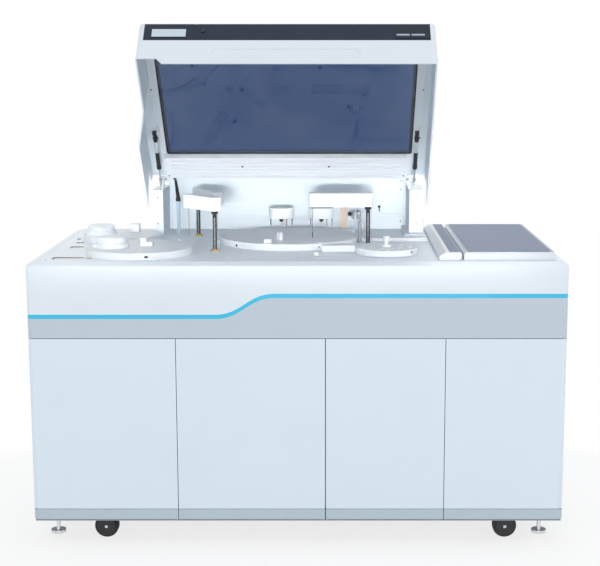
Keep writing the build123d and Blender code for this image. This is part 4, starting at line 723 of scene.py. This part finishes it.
# ---------------------------------------------------------------- probe arms
class ANALYSER_OT_arms(PieceOperator, bpy.types.Operator):
    """Probe arms on their lifting racks, with steel needles and brass guides"""

    bl_idname = "analyser.arms"
    bl_label = "Probe arms"

    def rack(self, bm, x, y, low, high):
        """A round column with a flat cut along its front; the rack teeth in the cut are made apart.
        """
        made = bmesh.ops.create_circle(bm, cap_ends=True, radius=0.0065, segments=40)
        for vert in made["verts"]:
            if abs(vert.co.x) < 0.0030 and vert.co.y < 0:
                vert.co.y = -0.0044
        bmesh.ops.translate(bm, vec=mm(x, y, low), verts=made["verts"])
        base = [f for f in bm.faces if all(v in made["verts"] for v in f.verts)]
        grown = bmesh.ops.extrude_face_region(bm, geom=base, use_keep_orig=True)
        top = [v for v in grown["geom"] if isinstance(v, bmesh.types.BMVert)]
        bmesh.ops.translate(bm, vec=mm(0, 0, high - low), verts=top)

    def execute(self, context):
        pitch = 1000 * sizes().rack_pitch
        dress("arm_guide_bushes", drawn_metal("turned_brass", (0.74, 0.56, 0.28), rough=0.3,
                                              stretch=(1.0, 1.0, 0.05)))
        for name, (x, y, top, (dx, dy)) in ARMS.items():
            under = DECK + top - ARM_HEIGHT
            needle = ((x + dx - 3, y + dy - 3, 800), (x + dx + 3, y + dy + 3, under - 0.2),
                      (0.66, 0.68, 0.70), 0.22, 1)
            tip = ((x + dx - 3, y + dy - 3, 800), (x + dx + 3, y + dy + 3, DECK + 44),
                   tone(40, 40, 44), 0.4, 0)
            zones = [needle, tip] if name == "sample_arm" else [needle]
            dress(name, painted(f"{name}_plastic", finishes().plastic, rough=0.34, soil=0.05,
                                grain=900, zones=zones), 0.5)

            low, high = DECK - 119.5, under + ARM_HEIGHT / 2 - 0.5
            bm = bmesh.new()
            self.rack(bm, x, y, low, high)
            turned(bm, [(6.6, 0), (9.4, 0), (10.8, 1.2), (11, 7.5), (10, 8.8), (6.6, 8.8)],
                   mm(x, y, under - 9.4))
            column = keep(bm, f"{name}_column", black_plastic(), f"{name}_lift")
            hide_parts(f"{name}_shaft")

            bm = bmesh.new()
            count = int((under - 16 - DECK + 60) / pitch)
            for step in range(count):
                z = DECK - 60 + step * pitch
                block(bm, (x - 2.4, y - 6.2, z), (x + 2.4, y - 4.2, z + pitch * 0.45))
            keep(bm, f"{name}_rack_teeth", steel(), f"{name}_lift")
        return {"FINISHED"}


# ---------------------------------------------------------------- mixers and wash station
class ANALYSER_OT_mixers(PieceOperator, bpy.types.Operator):
    """Mixers, wash station, its valve and its bent pipe"""

    bl_idname = "analyser.mixers"
    bl_label = "Mixers and wash station"

    def execute(self, context):
        colours = finishes()
        for name, x in MIXERS.items():
            dress(f"{name}_head", white_plastic(), 0.5)
            stem = ((x - 5, MIXER_Y - 6, 800), (x + 5, MIXER_Y + 6, DECK + 43), tone(225, 230, 232),
                    0.3, 0)
            dress(f"{name}_paddle", painted(f"{name}_paddle_plastic", colours.black, rough=0.4,
                                            zones=[stem]))
            bm = bmesh.new()
            for px, py in ((-37, -8), (-37, 18), (37, -8), (37, 18), (19, -20)):
                turned(bm, [(0.9, -24), (1.1, -23), (1.1, -4), (2.4, -3), (2.4, 0.2)],
                       mm(x + px, MIXER_Y + py, DECK + 56))
            keep(bm, f"{name}_studs", black_plastic(), f"{name}_head")
        plate = ((130, 290, 902.2), (164, 304, 990), tone(205, 190, 178), 0.25, 0)
        tube = ((188, 20, 891), (206, 44, 970), tone(150, 156, 164), 0.35, 0)
        dress("wash_station", painted("wash_plastic", colours.plastic, rough=0.36, soil=0.05,
                                      zones=[plate, tube]), 0.4)
        dress("wash_head", steel())
        valve = mm(184, 32, 983)
        bm = bmesh.new()
        turned(bm, [(12, 0), (14, 1), (14, 5), (11, 6), (9, 9), (5, 10)], valve + mm(-9, 0, 2),
               (-1, -0.5, 0.1))
        turned(bm, [(15.5, -3), (17.8, -2.4), (18.2, 2.4), (15.5, 3)], valve, (1, -0.15, 0))
        keep(bm, "valve_ring", white_plastic(), "wash_head")
        bm = bmesh.new()
        turned(bm, [(5, 0), (6.5, 1), (6.5, 8), (5, 9)], valve + mm(-17, -9, 3), (-1, -0.5, 0.1))
        keep(bm, "valve_knob", black_plastic(), "wash_head")
        bm = pipe("wash_pipe", [(197, 25.5, 952), (207, 24, 958), (214, 24, 948), (209, 24, 922),
                                (199, 24, 906), (196, 24, 890)], sizes().pipe_radius)
        keep(bm, "wash_pipe", steel(), "root")
        return {"FINISHED"}


# ---------------------------------------------------------------- console
class ANALYSER_OT_console(PieceOperator, bpy.types.Operator):
    """The two covers of the console with their grey panels"""

    bl_idname = "analyser.console"
    bl_label = "Console"

    def execute(self, context):
        grey = finishes().console
        strip = ((461, -362, 913.2), (494, 333, 920), grey, 0.45, 0)
        panel = ((510, -360, 914.15), (778, 335, 920), grey, 0.42, 0)
        dress("console_small_cover", painted("small_cover_plastic", finishes().plastic, rough=0.4,
                                             sheen=0.25, zones=[strip]), 0.5)
        dress("console_main_cover", painted("main_cover_plastic", finishes().plastic, rough=0.4,
                                            sheen=0.25, zones=[panel]), 0.3)
        dress("console_frame", painted("console_frame_paint", tone(120, 126, 134), rough=0.5,
                                       soil=0.15))
        return {"FINISHED"}


# ---------------------------------------------------------------- tower
class ANALYSER_OT_tower(PieceOperator, bpy.types.Operator):
    """Posts, rear wall, conduit with its boot, hook and screws"""

    bl_idname = "analyser.tower"
    bl_label = "Rear tower"

    def execute(self, context):
        dress("lid_posts", body_paint(), 0.6)
        dress("rear_tower", body_paint(), 0.4)
        dress("pivot_pins", steel())
        boot = ((-460, 255, 1002), (-410, 295, 1100), finishes().black, 0.5, 0)
        dress("lid_conduit", painted("conduit_plastic", tone(176, 196, 214), rough=0.4,
                                     zones=[boot]))
        bm = bmesh.new()
        for x in (-452, 352):
            for z in (915, 1030):
                screw(bm, mm(x, 413, z), (0, -1, 0))
        for x in (-496, 396):
            for z in (930, 1020):
                screw(bm, mm(x, 215, z), (0, -1, 0), 0.003)
        keep(bm, "tower_screws", steel(), "root")
        bm = pipe("wall_hook", [(275, 413.5, 968), (275, 402, 968), (275, 401, 958),
                                (275, 401, 952), (275, 396, 954)], 0.0018)
        turned(bm, [(5, 0), (5, 1.6), (3, 2.4)], mm(275, 413.2, 968), (0, -1, 0), steps=20)
        keep(bm, "wall_hook", black_plastic(), "root")
        bm = bmesh.new()
        turned(bm, [(4, 0), (6.5, 0.6), (6.5, 9), (5, 10)], mm(-446, 262, 1086), (1, -0.4, 0))
        keep(bm, "boot_knob", black_plastic(), "root")
        return {"FINISHED"}


# ---------------------------------------------------------------- lid
class ANALYSER_OT_lid(PieceOperator, bpy.types.Operator):
    """Lid shell, fascia with its indicators, window, gasket and rails"""

    bl_idname = "analyser.lid"
    bl_label = "Lid"

    def execute(self, context):
        colours = finishes()
        dress("lid_shell", painted("lid_paint", colours.body, rough=0.3, soil=0.03), 0.8)
        dress("lid_window", window_glass("window_tint", colours.glass))
        dress("window_gasket", rubber())
        rail = painted("coated_aluminium", tone(232, 237, 242), rough=0.3, soil=0.04, grain=300)
        dress("side_rails", rail)
        dress("rear_rail", rail)
        label = ((-448, -683, -61), (-344, -680.4, -27), tone(206, 220, 230), 0.3, 0)
        block_zone = ((200, -683, -80), (420, -680.4, -5), tone(34, 40, 52), 0.3, 0)
        bars = [((x, -683, -56), (x + 40, -680.9, -49), tone(170, 188, 205), 0.25, 0)
                for x in (302, 348)]
        dress("lid_fascia", painted("fascia_gloss", colours.fascia, rough=0.3, soil=0.03,
                                    peel=0.00001, zones=[label, block_zone, *bars], lid=True,
                                    sheen=0.25))
        bm = bmesh.new()
        for x in (-202, 94):
            screw(bm, lid_point(x, 71.5, 28), LID_IN)
        for x in (-481, 400):
            for u in (195, 415, 600):
                screw(bm, lid_point(x, u, 13), LID_IN, 0.0026)
        for x in (-457, 351):
            screw(bm, lid_point(x, 26, 28), LID_IN, 0.0026)
        keep(bm, "lid_screws", black_plastic(), "lid")
        bm = bmesh.new()
        turned(bm, [(7, 0), (7, 1), (5.5, 1.6), (5, 0.8)], lid_point(-292, 681.4, 34), LID_FORWARD,
               steps=24)
        keep(bm, "fascia_sensor_ring", black_plastic(), "lid")
        return {"FINISHED"}


# ---------------------------------------------------------------- struts
class ANALYSER_OT_struts(PieceOperator, bpy.types.Operator):
    """Gas struts with their sleeves, collars and nuts"""

    bl_idname = "analyser.struts"
    bl_label = "Gas struts"

    def execute(self, context):
        low, high = mm(0, *STRUT_LOW), mm(0, *STRUT_HIGH)
        way = (high - low).normalized()
        for name, x in STRUTS.items():
            dress(f"{name}_rod", drawn_metal("chromed_rod", (0.78, 0.79, 0.80), rough=0.12,
                                             depth=0.04))
            dress(f"{name}_tube", black_plastic())
            foot = mm(x, *STRUT_LOW)
            bm = bmesh.new()
            turned(bm, [(7.05, 146), (7.3, 146.4), (7.3, 193.6), (7.05, 194), (7.05, 146)], foot,
                   way, steps=32)
            keep(bm, f"{name}_sleeve", painted("strut_label", tone(205, 212, 218), rough=0.3),
                 f"{name}_tube")
            bm = bmesh.new()
            turned(bm, [(7.05, 203), (8.2, 204), (8.2, 212), (7.05, 213), (7.05, 203)], foot,
                   way, steps=32)
            turned(bm, [(7.05, 82), (7.9, 83), (7.9, 86), (7.05, 87), (7.05, 82)], foot,
                   way, steps=32)
            keep(bm, f"{name}_collars", black_plastic(), f"{name}_tube")
            bm = bmesh.new()
            turned(bm, [(3.1, 14), (5.2, 15), (5.6, 20), (4.4, 25), (3.1, 26)], foot, way, steps=24)
            keep(bm, f"{name}_nut", steel(), f"{name}_rod")
        return {"FINISHED"}


# ---------------------------------------------------------------- running gear
class ANALYSER_OT_running_gear(PieceOperator, bpy.types.Operator):
    """Casters with hub caps, cheeks and nuts, and levelling feet"""

    bl_idname = "analyser.running_gear"
    bl_label = "Running gear"

    def execute(self, context):
        for name in ("left_caster_fork", "right_caster_fork", "caster_mounts"):
            dress(name, black_plastic(), 0.4)
        for name in ("left_caster_wheel", "right_caster_wheel", "rear_caster_wheels"):
            dress(name, rubber(), 0.8)
        foot = drawn_metal("feet_steel", (0.66, 0.67, 0.69), rough=0.32, stretch=(1.0, 1.0, 0.2))
        dress("levelling_feet", foot, 0.6)
        for name, x in (("left", -CASTER_X), ("right", CASTER_X)):
            bm = bmesh.new()
            for side in (-1, 1):
                turned(bm, [(18, 0), (18, 0.8), (15, 1.2), (12, 0.9), (8, 1.2), (6, 1.3)],
                       mm(x + CASTER_TRAIL, side * 12.9 - CASTER_Y, AXLE_HEIGHT), (0, side, 0),
                       steps=28)
            keep(bm, f"{name}_hub_caps", painted("hub_grey", tone(96, 100, 106), rough=0.4),
                 f"{name}_caster_wheel")
            bm = bmesh.new()
            for side in (-1, 1):
                turned(bm, AXLE_NUT, mm(x + CASTER_TRAIL, side * FORK_FACE - CASTER_Y, AXLE_HEIGHT),
                       (0, side, 0), steps=6)
            keep(bm, f"{name}_axle_nuts", steel(), f"{name}_caster_fork")
            bm = bmesh.new()
            for side in (-1, 1):
                turned(bm, [(6.5, 0.2), (28.5, 0.2), (29, 0.8), (29, 2.2), (28, 3), (20, 3.4),
                            (11, 2.6), (8.5, 2.4), (6.5, 2.4)],
                       mm(x + CASTER_TRAIL, side * FORK_FACE - CASTER_Y, AXLE_HEIGHT + 3),
                       (0, side, 0), steps=40)
            keep(bm, f"{name}_caster_cheeks", black_plastic(), f"{name}_caster_fork")
        bm = bmesh.new()
        for x in (-CASTER_X, CASTER_X):
            for side in (-1, 1):
                turned(bm, AXLE_NUT, mm(x + side * FORK_FACE, CASTER_Y, AXLE_HEIGHT),
                       (side, 0, 0), steps=6)
        for x in (-FOOT_X, FOOT_X):
            for y in (-FOOT_Y, FOOT_Y):
                turned(bm, [(6.3, 0), (10, 0), (10, 7), (9, 8), (6.3, 8)], mm(x, y, FOOT_NUT_Z),
                       steps=6)
        keep(bm, "nuts", steel(), "root")
        return {"FINISHED"}


# ---------------------------------------------------------------- equipment in the bays
class ANALYSER_OT_bays(PieceOperator, bpy.types.Operator):
    """Fluid tanks, their caps, the power supply and the switch"""

    bl_idname = "analyser.bays"
    bl_label = "Bays"

    def execute(self, context):
        supply = ((580, 200, 80), (740, 423, 285), tone(120, 126, 132), 0.45, 0)
        inlet = ((600, 415, 130), (700, 430, 230), finishes().black, 0.45, 0)
        dress("bay_equipment", painted("tank_shell", tone(222, 228, 222), rough=0.45, soil=0.08,
                                       grain=260, peel=0.0002, zones=[supply, inlet]))
        dress("power_switch", black_plastic())
        bm = bmesh.new()
        ribs = sizes().cap_ribs
        for x in (-560, -230):
            turned(bm, [(38, 0), (38, 20), (36, 23), (30, 24)], mm(x, 130, 478), steps=56)
            for step in range(ribs):
                verts = block(bm, (37.2, -1.4, 2), (39.6, 1.4, 19), 0.5)
                turn = Matrix.Translation(mm(x, 130, 478)) @ Matrix.Rotation(
                    2 * pi * step / ribs, 4, "Z")
                bmesh.ops.transform(bm, matrix=turn, verts=verts)
        keep(bm, "tank_caps", painted("cap_blue", tone(60, 110, 170), rough=0.4), "root")
        bm = bmesh.new()
        for x, z in ((652, 158), (668, 158), (660, 166)):
            block(bm, (x - 1, 414, z - 2.6), (x + 1, 421, z + 2.6), 0.4)
        keep(bm, "inlet_blades", steel(), "root")
        return {"FINISHED"}


# ---------------------------------------------------------------- panel and registration
STEPS = ("stage", "cabinet", "deck", "arms", "mixers", "console", "tower", "lid", "struts",
         "running_gear", "bays")


class ANALYSER_PT_pieces(bpy.types.Panel):
    """The analyser's settings and the operators that make its pieces"""

    bl_label = "Analyser"
    bl_idname = "ANALYSER_PT_pieces"
    bl_space_type = "VIEW_3D"
    bl_region_type = "UI"
    bl_category = "Analyser"

    def draw(self, context):
        for group in (context.scene.analyser_finishes, context.scene.analyser_sizes):
            box = self.layout.box()
            for key in group.__annotations__:
                box.prop(group, key)
        for step in STEPS:
            self.layout.operator(f"analyser.{step}")


CLASSES = (
    AnalyserFinishes,
    AnalyserSizes,
    ANALYSER_OT_stage,
    ANALYSER_OT_cabinet,
    ANALYSER_OT_deck,
    ANALYSER_OT_arms,
    ANALYSER_OT_mixers,
    ANALYSER_OT_console,
    ANALYSER_OT_tower,
    ANALYSER_OT_lid,
    ANALYSER_OT_struts,
    ANALYSER_OT_running_gear,
    ANALYSER_OT_bays,
    ANALYSER_PT_pieces,
)


def register():
    for cls in CLASSES:
        bpy.utils.register_class(cls)
    bpy.types.Scene.analyser_finishes = bpy.props.PointerProperty(type=AnalyserFinishes)
    bpy.types.Scene.analyser_sizes = bpy.props.PointerProperty(type=AnalyserSizes)


def unregister():
    del bpy.types.Scene.analyser_sizes
    del bpy.types.Scene.analyser_finishes
    for cls in reversed(CLASSES):
        bpy.utils.unregister_class(cls)


def main():
    """Makes every piece in order."""
    register()
    for step in STEPS:
        getattr(bpy.ops.analyser, step)()


if __name__ == "__main__":
    main()
